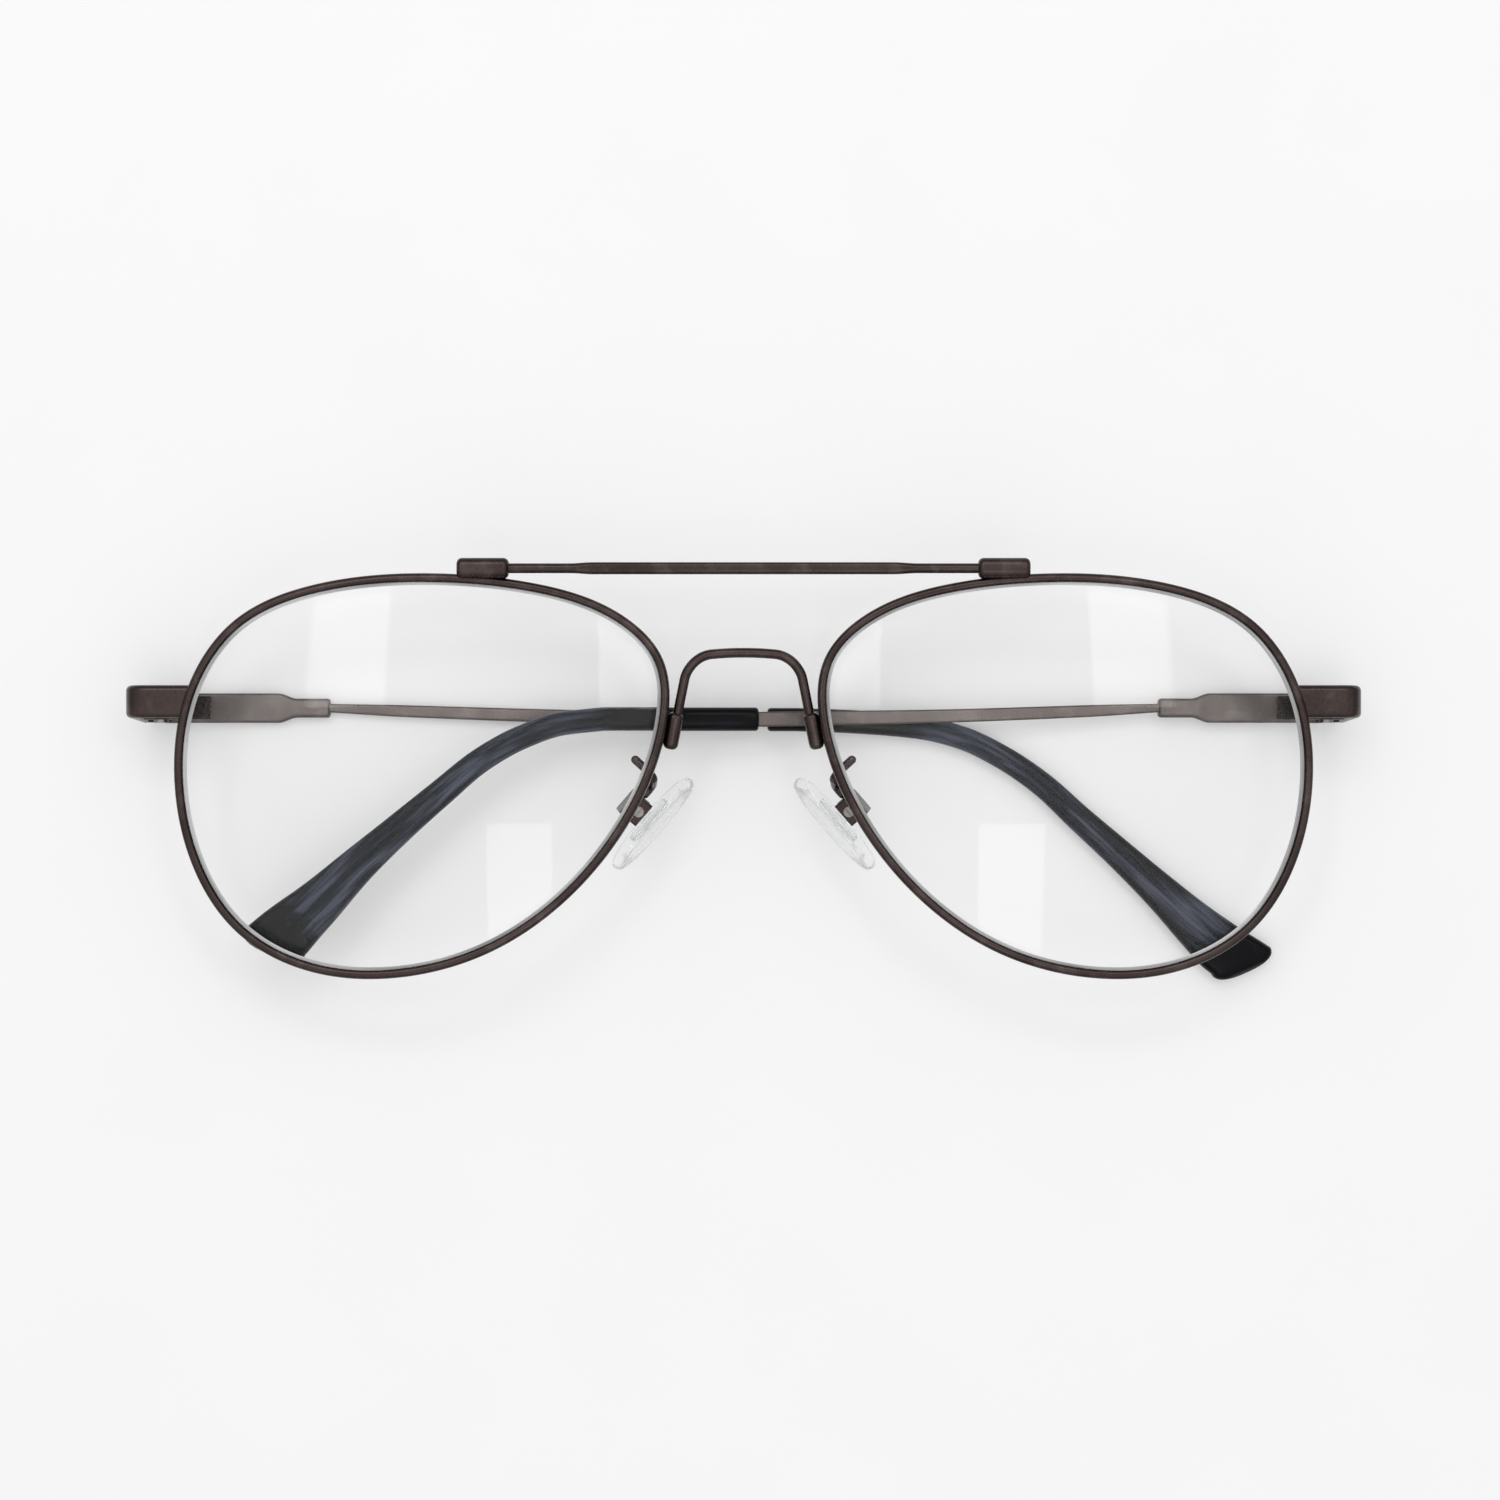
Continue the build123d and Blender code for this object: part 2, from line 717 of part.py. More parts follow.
arm_end = pad_plane.from_local_coords((-pad_box_length / 2, 0, pad_arm_level))
arm_turn = pad_plane.from_local_coords((-pad_box_length / 2 - pad_arm_straight, 0, pad_arm_level))
foot_z = (
    front_z(pad_arm_knee_x, datum_y + pad_arm_knee_y) - rim_depth / 2 - pad_arm_radius + pad_arm_foot_sink
)
with BuildPart() as pad_arm:
    with BuildLine() as arm:
        FilletPolyline(
            (pad_arm_foot_x, datum_y + pad_arm_foot_y, foot_z),
            (pad_arm_knee_x, datum_y + pad_arm_knee_y, foot_z),
            arm_turn,
            arm_end,
            radius=pad_arm_bend,
        )
    arm_wire = arm.wire()
    with BuildSketch(Plane(origin=arm_wire @ 0, z_dir=arm_wire % 0)):
        Circle(pad_arm_radius)
    sweep(path=arm_wire)
    add(rim_plate, mode=Mode.SUBTRACT)
write_pair("pad_arm", pad_arm)
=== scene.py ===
import logging
from dataclasses import dataclass, field, replace
from enum import Enum
from math import cos, pi, radians, sin, sqrt, tan
from typing import Callable, Iterable, Sequence

import bmesh
import bpy
import numpy as np
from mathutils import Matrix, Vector


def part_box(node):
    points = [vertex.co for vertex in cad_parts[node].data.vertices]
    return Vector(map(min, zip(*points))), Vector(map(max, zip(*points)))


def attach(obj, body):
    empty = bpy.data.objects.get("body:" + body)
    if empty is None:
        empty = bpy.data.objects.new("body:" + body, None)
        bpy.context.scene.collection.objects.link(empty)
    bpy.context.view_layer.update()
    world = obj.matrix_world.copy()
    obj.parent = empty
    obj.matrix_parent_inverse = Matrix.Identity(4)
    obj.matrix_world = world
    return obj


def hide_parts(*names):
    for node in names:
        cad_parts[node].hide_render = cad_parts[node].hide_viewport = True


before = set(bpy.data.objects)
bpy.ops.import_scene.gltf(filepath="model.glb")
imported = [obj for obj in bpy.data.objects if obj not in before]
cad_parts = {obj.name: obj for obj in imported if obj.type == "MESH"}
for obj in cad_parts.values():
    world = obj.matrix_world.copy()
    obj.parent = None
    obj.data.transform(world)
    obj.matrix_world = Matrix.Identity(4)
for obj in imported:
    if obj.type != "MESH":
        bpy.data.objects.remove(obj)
for leftover in ("Cube", "Light", "Camera"):
    if leftover in bpy.data.objects:
        bpy.data.objects.remove(bpy.data.objects[leftover])
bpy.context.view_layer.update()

# Double bridge glasses, lying face up on their folded temples.
# Sizes are in millimetres until a mesh is made, and +X is towards the wearer's left.
MM = 0.001
CORNER_STEPS = 5
LARGEST_ROUND = 0.49
SMALLEST_ROUND = 0.05
JOIN_DISTANCE = 0.0005
SHARP_ANGLE = 38
UP_THE_PAGE = Vector((0, 1, 0))
TO_THE_LEFT = Vector((1, 0, 0))
OFF_THE_TABLE = Vector((0, 0, 1))
# The cubic between two ends with their slopes, by powers of the share of the way.
HERMITE = np.array(((1, 0, 0, 0), (0, 1, 0, 0), (-3, -2, 3, -1), (2, 1, -2, 1)))
log = logging.getLogger("glasses")
Socket = bpy.types.NodeSocket
Piece = bpy.types.Object
Points = Sequence[Vector]


class Side(Enum):
    """The half of the glasses that a piece belongs to, by the wearer."""

    LEFT = 1
    RIGHT = -1

    @property
    def word(self) -> str:
        """The word that the piece's name starts with."""
        return self.name.lower()


class Slot(Enum):
    """The record's material slots, passed with each visual piece but not read."""

    GUNMETAL = "gunmetal"
    LENS = "lens"
    TIP = "tip"
    PAD = "pad"


class Turn(Enum):
    """How a swept profile keeps its way up along its path."""

    UPRIGHT = "Z_UP"
    LEAST_TWIST = "MINIMUM_TWIST"


class Graph:
    """A node tree that is filled by short calls."""

    def __init__(self, tree: bpy.types.NodeTree) -> None:
        """Take the tree to fill and clear it."""
        self.tree = tree
        tree.nodes.clear()

    def add(self, kind: str, inputs: dict | None = None, **settings: object) -> bpy.types.Node:
        """Add a node.

        Args:
            kind: the node's type name.
            inputs: a value, or a socket to join, for each input by name or number.
            settings: values for its own properties.

        Returns:
            The new node.
        """
        node = self.tree.nodes.new(kind)
        for name, value in settings.items():
            setattr(node, name, value)
        for name, value in (inputs or {}).items():
            if isinstance(value, Socket):
                self.tree.links.new(value, node.inputs[name])
            else:
                node.inputs[name].default_value = value
        return node

    def math(self, operation: str, first: object, second: object = 0.0) -> Socket:
        """The result of a math node on two sockets or numbers."""
        return self.add("ShaderNodeMath", {0: first, 1: second}, operation=operation).outputs[0]

    def mix(self, share: object, first: Socket, second: Socket) -> Socket:
        """The blend of two shaders by the second one's share."""
        return self.add("ShaderNodeMixShader", {0: share, 1: first, 2: second}).outputs[0]

    def ramp(self, value: Socket, stops: Sequence[tuple[float, tuple]]) -> Socket:
        """Turn a value into a colour by a ramp.

        Args:
            value: the socket to read.
            stops: places from 0 to 1, each with its colour.

        Returns:
            The ramp's colour socket.
        """
        node = self.add("ShaderNodeValToRGB", {"Fac": value})
        elements = node.color_ramp.elements
        while len(elements) < len(stops):
            elements.new(1.0)
        for element, (place, colour) in zip(elements, stops):
            element.position = place
            element.color = (*colour, 1.0)
        return node.outputs["Color"]

    def noise(self, coords: Socket, scale: object, detail: float, twist: float = 0.0) -> Socket:
        """Add a noise texture.

        Args:
            coords: the coordinates to read.
            scale: the texture's scale in their unit, or a socket.
            detail: how many finer layers it has.
            twist: how far it is distorted.

        Returns:
            The value, about 0.5 on average.
        """
        inputs = {"Vector": coords, "Scale": scale, "Detail": detail, "Distortion": twist}
        return self.add("ShaderNodeTexNoise", inputs).outputs[0]

    def grain(self, patch_scale: float, grain_scale: float = 1.0) -> Sequence[Socket]:
        """The outputs of the shared grain group at a pair of scales."""
        inputs = {"Patch Scale": patch_scale, "Grain Scale": grain_scale}
        return self.add("ShaderNodeGroup", inputs, node_tree=fine_grain()).outputs

    def bump(self, height: Socket, strength: float, depth: float) -> Socket:
        """The normal over a relief of a depth in millimetres."""
        inputs = {"Height": height, "Strength": strength, "Distance": depth * MM}
        return self.add("ShaderNodeBump", inputs).outputs["Normal"]


def fine_grain() -> bpy.types.NodeTree:
    """Build the group for the grain and slow tone changes that the finishes share.

    Returns:
        The group, built once, with a tone, a speckle and a rub.
    """
    name = "fine_grain"
    finer, rub_start, rub_gain = 3.0, 0.52, 3.0
    tree = bpy.data.node_groups.get(name)
    if tree:
        return tree
    tree = bpy.data.node_groups.new(name, "ShaderNodeTree")
    for way, sockets in (("INPUT", ("Patch Scale", "Grain Scale")), ("OUTPUT", ("Tone", "Speckle", "Rub"))):
        for socket in sockets:
            tree.interface.new_socket(socket, in_out=way, socket_type="NodeSocketFloat")
    graph = Graph(tree)
    scales = graph.add("NodeGroupInput").outputs
    place = graph.add("ShaderNodeTexCoord").outputs["Object"]
    rub_scale = graph.math("MULTIPLY", scales["Patch Scale"], finer)
    worn = graph.math("SUBTRACT", graph.noise(place, rub_scale, detail=3.0, twist=0.3), rub_start)
    made = {
        "Tone": graph.noise(place, scales["Patch Scale"], detail=2.0),
        "Speckle": graph.noise(place, scales["Grain Scale"], detail=1.0),
        "Rub": graph.math("MAXIMUM", graph.math("MULTIPLY", worn, rub_gain), 0.0),
    }
    graph.add("NodeGroupOutput", made)
    return tree


def shadowless(graph: Graph, shader: Socket, tint: tuple) -> Socket:
    """Let lamp light and bounced light through a clear shader.

    Args:
        graph: the material's graph.
        shader: the clear shader.
        tint: the colour that shadow rays keep.

    Returns:
        The shader with a tinted hole for those rays.
    """
    rays = graph.add("ShaderNodeLightPath").outputs
    either = graph.math("MAXIMUM", rays["Is Shadow Ray"], rays["Is Diffuse Ray"])
    clear = graph.add("ShaderNodeBsdfTransparent", {"Color": (*tint, 1.0)})
    return graph.mix(either, shader, clear.outputs[0])


@dataclass(frozen=True)
class Finish:
    """A surface finish, made into a material once."""

    name: str

    def shade(self, graph: Graph) -> Socket:
        """Fill the material's graph.

        Args:
            graph: the empty graph.

        Returns:
            The shader that the surface shows.
        """
        raise NotImplementedError

    def material(self) -> bpy.types.Material:
        """Build the material, or fetch it when it stands.

        Returns:
            The material.
        """
        made = bpy.data.materials.get(self.name)
        if made:
            return made
        made = bpy.data.materials.new(self.name)
        made.use_nodes = True
        graph = Graph(made.node_tree)
        graph.add("ShaderNodeOutputMaterial", {"Surface": self.shade(graph)})
        return made


@dataclass(frozen=True)
class Metal(Finish):
    """A plated or bare metal with a satin grain, and painted shade that darkens its sides where the surface
    turns away from straight up.
    """

    dark: tuple
    light: tuple
    worn: tuple
    roughness: float
    roughness_range: float
    grain_depth: float
    coat: float
    side_tone: tuple = (0.55, 0.50, 0.49)
    side_stops: tuple = (0.62, 0.97)
    tone_stops: tuple = (0.45, 0.85)
    speckle_share: float = 0.3
    metalness: float = 0.88
    coat_roughness: float = 0.25
    ior: float = 1.6
    relief: float = 0.2
    patch_scale: float = 130.0
    grain_scale: float = 3600.0

    def shade(self, graph: Graph) -> Socket:
        """The plating's shader."""
        grain = graph.grain(self.patch_scale, self.grain_scale)
        blend = graph.math("ADD", grain["Tone"], graph.math("MULTIPLY", grain["Speckle"], self.speckle_share))
        tone = graph.ramp(blend, tuple(zip(self.tone_stops, (self.dark, self.light))))
        # Painted shade: the colour is multiplied by a darker tone where the normal turns away from straight
        # up, so the sides and edges of wires and plates read darker.
        facing = graph.add("ShaderNodeTexCoord").outputs["Normal"]
        upright = graph.math("ABSOLUTE", graph.add("ShaderNodeSeparateXYZ", {0: facing}).outputs["Z"])
        sides = zip((0.0, *self.side_stops), (self.side_tone, self.side_tone, (1.0, 1.0, 1.0)))
        painted_shade_inputs = {"Factor": 1.0, "A": tone, "B": graph.ramp(upright, tuple(sides))}
        deep = graph.add("ShaderNodeMix", painted_shade_inputs, data_type="RGBA", blend_type="MULTIPLY")
        wear = {"Factor": grain["Rub"], "A": deep.outputs["Result"], "B": (*self.worn, 1.0)}
        swing = graph.math("MULTIPLY", graph.math("SUBTRACT", grain["Speckle"], 0.5), self.roughness_range)
        surface = {
            "Metallic": self.metalness,
            "Coat Weight": self.coat,
            "Coat Roughness": self.coat_roughness,
            "IOR": self.ior,
            "Base Color": graph.add("ShaderNodeMix", wear, data_type="RGBA").outputs["Result"],
            "Roughness": graph.math("ADD", swing, self.roughness),
            "Normal": graph.bump(grain["Speckle"], self.relief, self.grain_depth),
        }
        return graph.add("ShaderNodeBsdfPrincipled", surface).outputs[0]


@dataclass(frozen=True)
class MarbledPlastic(Finish):
    """Polished near-black navy plastic with grey-blue streaks that run along the temple tip.

    It reads two attributes: "flow" holds millimetres along and across the tip, and "milk" is 1 along the
    middle of the tip, where it lies behind a lens, and 0 at its two ends; the marbled streaks are kept
    lighter where it is 1, as a painted reflection of the lens, and are darkened where it is 0.
    """

    name: str = "marbled_tip_plastic"
    deep: tuple = (0.0010, 0.0011, 0.0024)
    mid: tuple = (0.0090, 0.0110, 0.0200)
    streak: tuple = (0.075, 0.085, 0.118)
    stops: tuple = (0.38, 0.47, 0.60)
    cloud_scale: tuple = (0.07, 0.62, 0.3)
    cloud_twist: float = 0.4
    cloud_share: float = 0.72
    thread_scale: tuple = (0.16, 2.6, 1.0)
    thread_share: float = 0.28
    fade: float = 0.22
    roughness: float = 0.20
    haze: float = 0.12
    gloss: float = 0.16
    ior: float = 1.45

    def shade(self, graph: Graph) -> Socket:
        """The plastic's shader."""
        flow = graph.add("ShaderNodeAttribute", attribute_name="flow").outputs["Vector"]
        wide, fine = (
            graph.add("ShaderNodeMapping", {"Vector": flow, "Scale": scale}).outputs[0]
            for scale in (self.cloud_scale, self.thread_scale)
        )
        cloud = graph.noise(wide, 1.0, detail=2.0, twist=self.cloud_twist)
        thread = graph.math("MULTIPLY", graph.noise(fine, 1.0, detail=2.0), self.thread_share)
        veil = graph.math("ADD", graph.math("MULTIPLY", cloud, self.cloud_share), thread)
        # Painted reflection: the streaks stay lighter where the mask is 1, behind a lens, and are pressed
        # darker by the fade at the tip's two ends, outside the lenses.
        milk = graph.add("ShaderNodeAttribute", attribute_name="milk").outputs["Fac"]
        shift = graph.math("MULTIPLY", graph.math("SUBTRACT", 1.0, milk), self.fade)
        colours = tuple(zip(self.stops, (self.deep, self.mid, self.streak)))
        surface = {
            "Specular IOR Level": self.gloss,
            "IOR": self.ior,
            "Base Color": graph.ramp(graph.math("SUBTRACT", veil, shift), colours),
            "Roughness": graph.math("ADD", graph.math("MULTIPLY", cloud, self.haze), self.roughness),
        }
        return graph.add("ShaderNodeBsdfPrincipled", surface).outputs[0]


@dataclass(frozen=True)
class Clear(Finish):
    """A clear lens or silicone with a little haze."""

    tint: tuple
    shadow_tint: tuple
    roughness: float
    ior: float
    haze: float = 0.0
    patch_scale: float = 260.0
    stops: tuple = (0.3, 0.7)
    lighter: float = 1.02
    presence: float = 1.0

    def shade(self, graph: Graph) -> Socket:
        """The clear body's shader, thinned by a plain tint when the presence is below 1."""
        grain = graph.grain(self.patch_scale)
        paler = tuple(min(1.0, part * self.lighter) for part in self.tint)
        surface = {
            "Transmission Weight": 1.0,
            "IOR": self.ior,
            "Base Color": graph.ramp(grain["Tone"], tuple(zip(self.stops, (self.tint, paler)))),
            "Roughness": graph.math("ADD", graph.math("MULTIPLY", grain["Rub"], self.haze), self.roughness),
        }
        shader = graph.add("ShaderNodeBsdfPrincipled", surface).outputs[0]
        through = graph.add("ShaderNodeBsdfTransparent", {"Color": (*self.tint, 1.0)}).outputs[0]
        return shadowless(graph, graph.mix(self.presence, through, shader), self.shadow_tint)


@dataclass(frozen=True)
class FrostedEdge(Finish):
    """The ground, milky edge of a lens."""

    name: str = "ground_lens_edge"
    dull: tuple = (0.50, 0.50, 0.51)
    bright: tuple = (0.80, 0.80, 0.81)
    shadow_tint: tuple = (0.8, 0.8, 0.8)
    stops: tuple = (0.35, 0.6)
    roughness: float = 0.55
    ior: float = 1.45
    patch_scale: float = 90.0
    grain_scale: float = 6000.0
    grain_depth: float = 0.008
    relief: float = 0.4

    def shade(self, graph: Graph) -> Socket:
        """The ground surface's shader."""
        grain = graph.grain(self.patch_scale, self.grain_scale)
        surface = {
            "Roughness": self.roughness,
            "IOR": self.ior,
            "Base Color": graph.ramp(grain["Tone"], tuple(zip(self.stops, (self.dull, self.bright)))),
            "Normal": graph.bump(grain["Speckle"], self.relief, self.grain_depth),
        }
        return shadowless(graph, graph.add("ShaderNodeBsdfPrincipled", surface).outputs[0], self.shadow_tint)


@dataclass(frozen=True)
class FloorFinish(Finish):
    """A plain white sheet that the camera sees as white and that keeps the shadow."""

    name: str = "white_table"
    albedo: float = 0.82
    mottle: float = 1.012
    mottle_scale: float = 45.0
    stops: tuple = (0.35, 0.65)
    lift: float = 0.20

    def shade(self, graph: Graph) -> Socket:
        """The sheet's shader: a pale diffuse one and a faint glow for rays that look at it."""
        place = graph.add("ShaderNodeTexCoord").outputs["Object"]
        stops = tuple(zip(self.stops, ((self.albedo,) * 3, (self.albedo * self.mottle,) * 3)))
        pale = graph.ramp(graph.noise(place, self.mottle_scale, detail=4.0), stops)
        base = graph.add("ShaderNodeBsdfDiffuse", {"Color": pale})
        rays = graph.add("ShaderNodeLightPath").outputs
        seen = graph.math("MAXIMUM", rays["Is Camera Ray"], rays["Is Glossy Ray"])
        seen = graph.math("MAXIMUM", seen, rays["Is Transmission Ray"])
        strength = graph.math("MULTIPLY", seen, self.lift)
        glow = graph.add("ShaderNodeEmission", {"Color": (1.0, 1.0, 1.0, 1.0), "Strength": strength})
        return graph.add("ShaderNodeAddShader", {0: base.outputs[0], 1: glow.outputs[0]}).outputs[0]


GUNMETAL = Metal(
    "brown_gunmetal_plating",
    dark=(0.036, 0.0235, 0.0215),
    light=(0.066, 0.0465, 0.0430),
    worn=(0.105, 0.079, 0.073),
    roughness=0.27,
    roughness_range=0.14,
    grain_depth=0.006,
    coat=0.15,
)
SATIN = Metal(
    "satin_gunmetal_faces",
    dark=(0.120, 0.101, 0.094),
    light=(0.185, 0.160, 0.151),
    worn=(0.225, 0.200, 0.190),
    roughness=0.46,
    roughness_range=0.16,
    grain_depth=0.008,
    coat=0.05,
)
STEEL = Metal(
    "fine_screw_steel",
    dark=(0.24, 0.225, 0.215),
    light=(0.36, 0.34, 0.33),
    worn=(0.48, 0.46, 0.45),
    roughness=0.30,
    roughness_range=0.16,
    grain_depth=0.004,
    coat=0.0,
)
TIP_PLASTIC = MarbledPlastic()
LENS_CLEAR = Clear(
    "clear_lens",
    tint=(0.988, 0.989, 0.988),
    shadow_tint=(0.975, 0.976, 0.976),
    roughness=0.016,
    ior=1.27,
    patch_scale=30.0,
)
LENS_EDGE = FrostedEdge()
PAD_CLEAR = Clear(
    "clear_silicone",
    tint=(0.985, 0.988, 0.988),
    shadow_tint=(0.95, 0.955, 0.955),
    roughness=0.03,
    ior=1.17,
    haze=0.03,
    presence=0.6,
)
PAD_CORE = Clear(
    "pale_pad_core",
    tint=(0.93, 0.94, 0.94),
    shadow_tint=(0.93, 0.94, 0.94),
    roughness=0.12,
    ior=1.30,
    haze=0.05,
    presence=0.5,
)


def quarter_turn(steps: int) -> list[float]:
    """Angles from 0 to a right angle in even steps."""
    return [step / steps * pi / 2 for step in range(steps + 1)]


def eased(share: float) -> float:
    """A share from 0 to 1 that starts and ends gently."""
    return share * share * (3 - 2 * share)


def blend(first: Sequence[float], last: Sequence[float], share: float) -> list[float]:
    """Values a share of the way from the first ones to the last ones."""
    return [start + (stop - start) * share for start, stop in zip(first, last)]


@dataclass(frozen=True)
class Section:
    """A rounded rectangle on a plane across a piece."""

    origin: Vector
    across: Vector
    up: Vector
    width: float
    height: float
    radius: float

    def ring(self) -> list[Vector]:
        """The section's points, anticlockwise."""
        radius = min(self.radius, LARGEST_ROUND * self.width, LARGEST_ROUND * self.height)
        half_x = self.width / 2 - radius
        half_y = self.height / 2 - radius
        points = []
        for quarter, (way_x, way_y) in enumerate(((1, 1), (-1, 1), (-1, -1), (1, -1))):
            for step in range(CORNER_STEPS + 1):
                angle = (quarter + step / CORNER_STEPS) * pi / 2
                x = way_x * half_x + radius * cos(angle)
                y = way_y * half_y + radius * sin(angle)
                points.append(self.origin + self.across * x + self.up * y)
        return points

    def shifted(self, along: Vector, inset: float = 0.0) -> "Section":
        """The section moved, with each side drawn in by an inset."""
        width, height = self.width - 2 * inset, self.height - 2 * inset
        radius = max(self.radius - inset, SMALLEST_ROUND)
        return Section(self.origin + along, self.across, self.up, width, height, radius)


def rounded_end(section: Section, outward: Vector, radius: float, steps: int = 4) -> list[Section]:
    """Sections that round the end of a lofted piece over.

    Args:
        section: the section at the very end.
        outward: the unit direction that the end faces.
        radius: the size of the rounding.
        steps: how many sections it takes.

    Returns:
        The sections, from the body of the piece out to its end face.
    """
    return [
        section.shifted(outward * radius * (sin(angle) - 1), radius * (1 - cos(angle)))
        for angle in quarter_turn(steps)
    ]


def mirrored(points: Iterable[Vector], side: Side) -> list[Vector]:
    """Points of the left half, placed on a side."""
    return [Vector((side.value * point.x, point.y, point.z)) for point in points]


def placed(name: str, data: bpy.types.ID) -> Piece:
    """A new object in the scene with its data."""
    made = bpy.data.objects.new(name, data)
    bpy.context.scene.collection.objects.link(made)
    return made


def finish_mesh(name: str, mesh: bpy.types.Mesh, finish: Finish) -> Piece:
    """Join points that meet, turn the faces outwards, smooth them and finish them.

    Args:
        name: the piece's name.
        mesh: its raw mesh.
        finish: what it is finished in.

    Returns:
        The object, at the origin.
    """
    built = bmesh.new()
    built.from_mesh(mesh)
    bmesh.ops.remove_doubles(built, verts=built.verts, dist=JOIN_DISTANCE * MM)
    bmesh.ops.recalc_face_normals(built, faces=built.faces)
    built.to_mesh(mesh)
    built.free()
    mesh.shade_smooth()
    mesh.set_sharp_from_angle(angle=radians(SHARP_ANGLE))
    mesh.materials.clear()
    mesh.materials.append(finish.material())
    return placed(name, mesh)


def loft_rings(name: str, rings: Sequence[Sequence[Vector]], finish: Finish) -> Piece:
    """Join rings of as many points each into a closed piece.

    Args:
        name: the piece's name.
        rings: the rings, in order.
        finish: what it is finished in.

    Returns:
        The object.
    """
    count = len(rings[0])
    last = (len(rings) - 1) * count
    faces = []
    for start in range(0, last, count):
        for step in range(count):
            ahead = (step + 1) % count
            faces.append((start + step, start + ahead, start + count + ahead, start + count + step))
    faces.append(tuple(reversed(range(count))))
    faces.append(tuple(last + step for step in range(count)))
    mesh = bpy.data.meshes.new(name)
    mesh.from_pydata([point * MM for ring in rings for point in ring], [], faces)
    return finish_mesh(name, mesh, finish)


def evaluated(piece: Piece) -> bpy.types.Mesh:
    """A piece's mesh as its modifiers make it."""
    graph = bpy.context.evaluated_depsgraph_get()
    return bpy.data.meshes.new_from_object(piece.evaluated_get(graph), depsgraph=graph)


def loft(name: str, sections: Sequence[Section], side: Side, finish: Finish) -> Piece:
    """Loft a piece of the left half through sections and place it on a side.

    Its normals are weighed by face size, so that its flats stay flat beside small roundings.

    Args:
        name: the piece's name.
        sections: the sections, in order.
        side: the side that it belongs to.
        finish: what it is finished in.

    Returns:
        The object.
    """
    piece = loft_rings(name, [mirrored(section.ring(), side) for section in sections], finish)
    piece.modifiers.new("weighted", "WEIGHTED_NORMAL").keep_sharp = True
    settled = evaluated(piece)
    piece.modifiers.clear()
    piece.data = settled
    return piece


def rounded_block(name: str, first: Section, run: Vector, radius: float, side: Side) -> Piece:
    """Loft a straight block of plating with both ends rounded over.

    Args:
        name: the piece's name.
        first: the section at its first end.
        run: the way and distance to its other end.
        radius: the size of the rounding.
        side: the side that it belongs to.

    Returns:
        The object.
    """
    way = run.normalized()
    near = rounded_end(first, -way, radius)
    far = rounded_end(first.shifted(run), way, radius)
    return loft(name, [*reversed(near), *far], side, GUNMETAL)


def settle(piece: Piece, body: str, slot: Slot, *nodes: str) -> None:
    """Hand a finished piece to the frame.

    Args:
        piece: the piece.
        body: the body that it moves with.
        slot: its material slot; not used.
        nodes: the construction nodes that it stands for.
    """
    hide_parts(*nodes)
    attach(piece, body)
    log.info("%s rides on %s with %d faces", piece.name, body, len(piece.data.polygons))


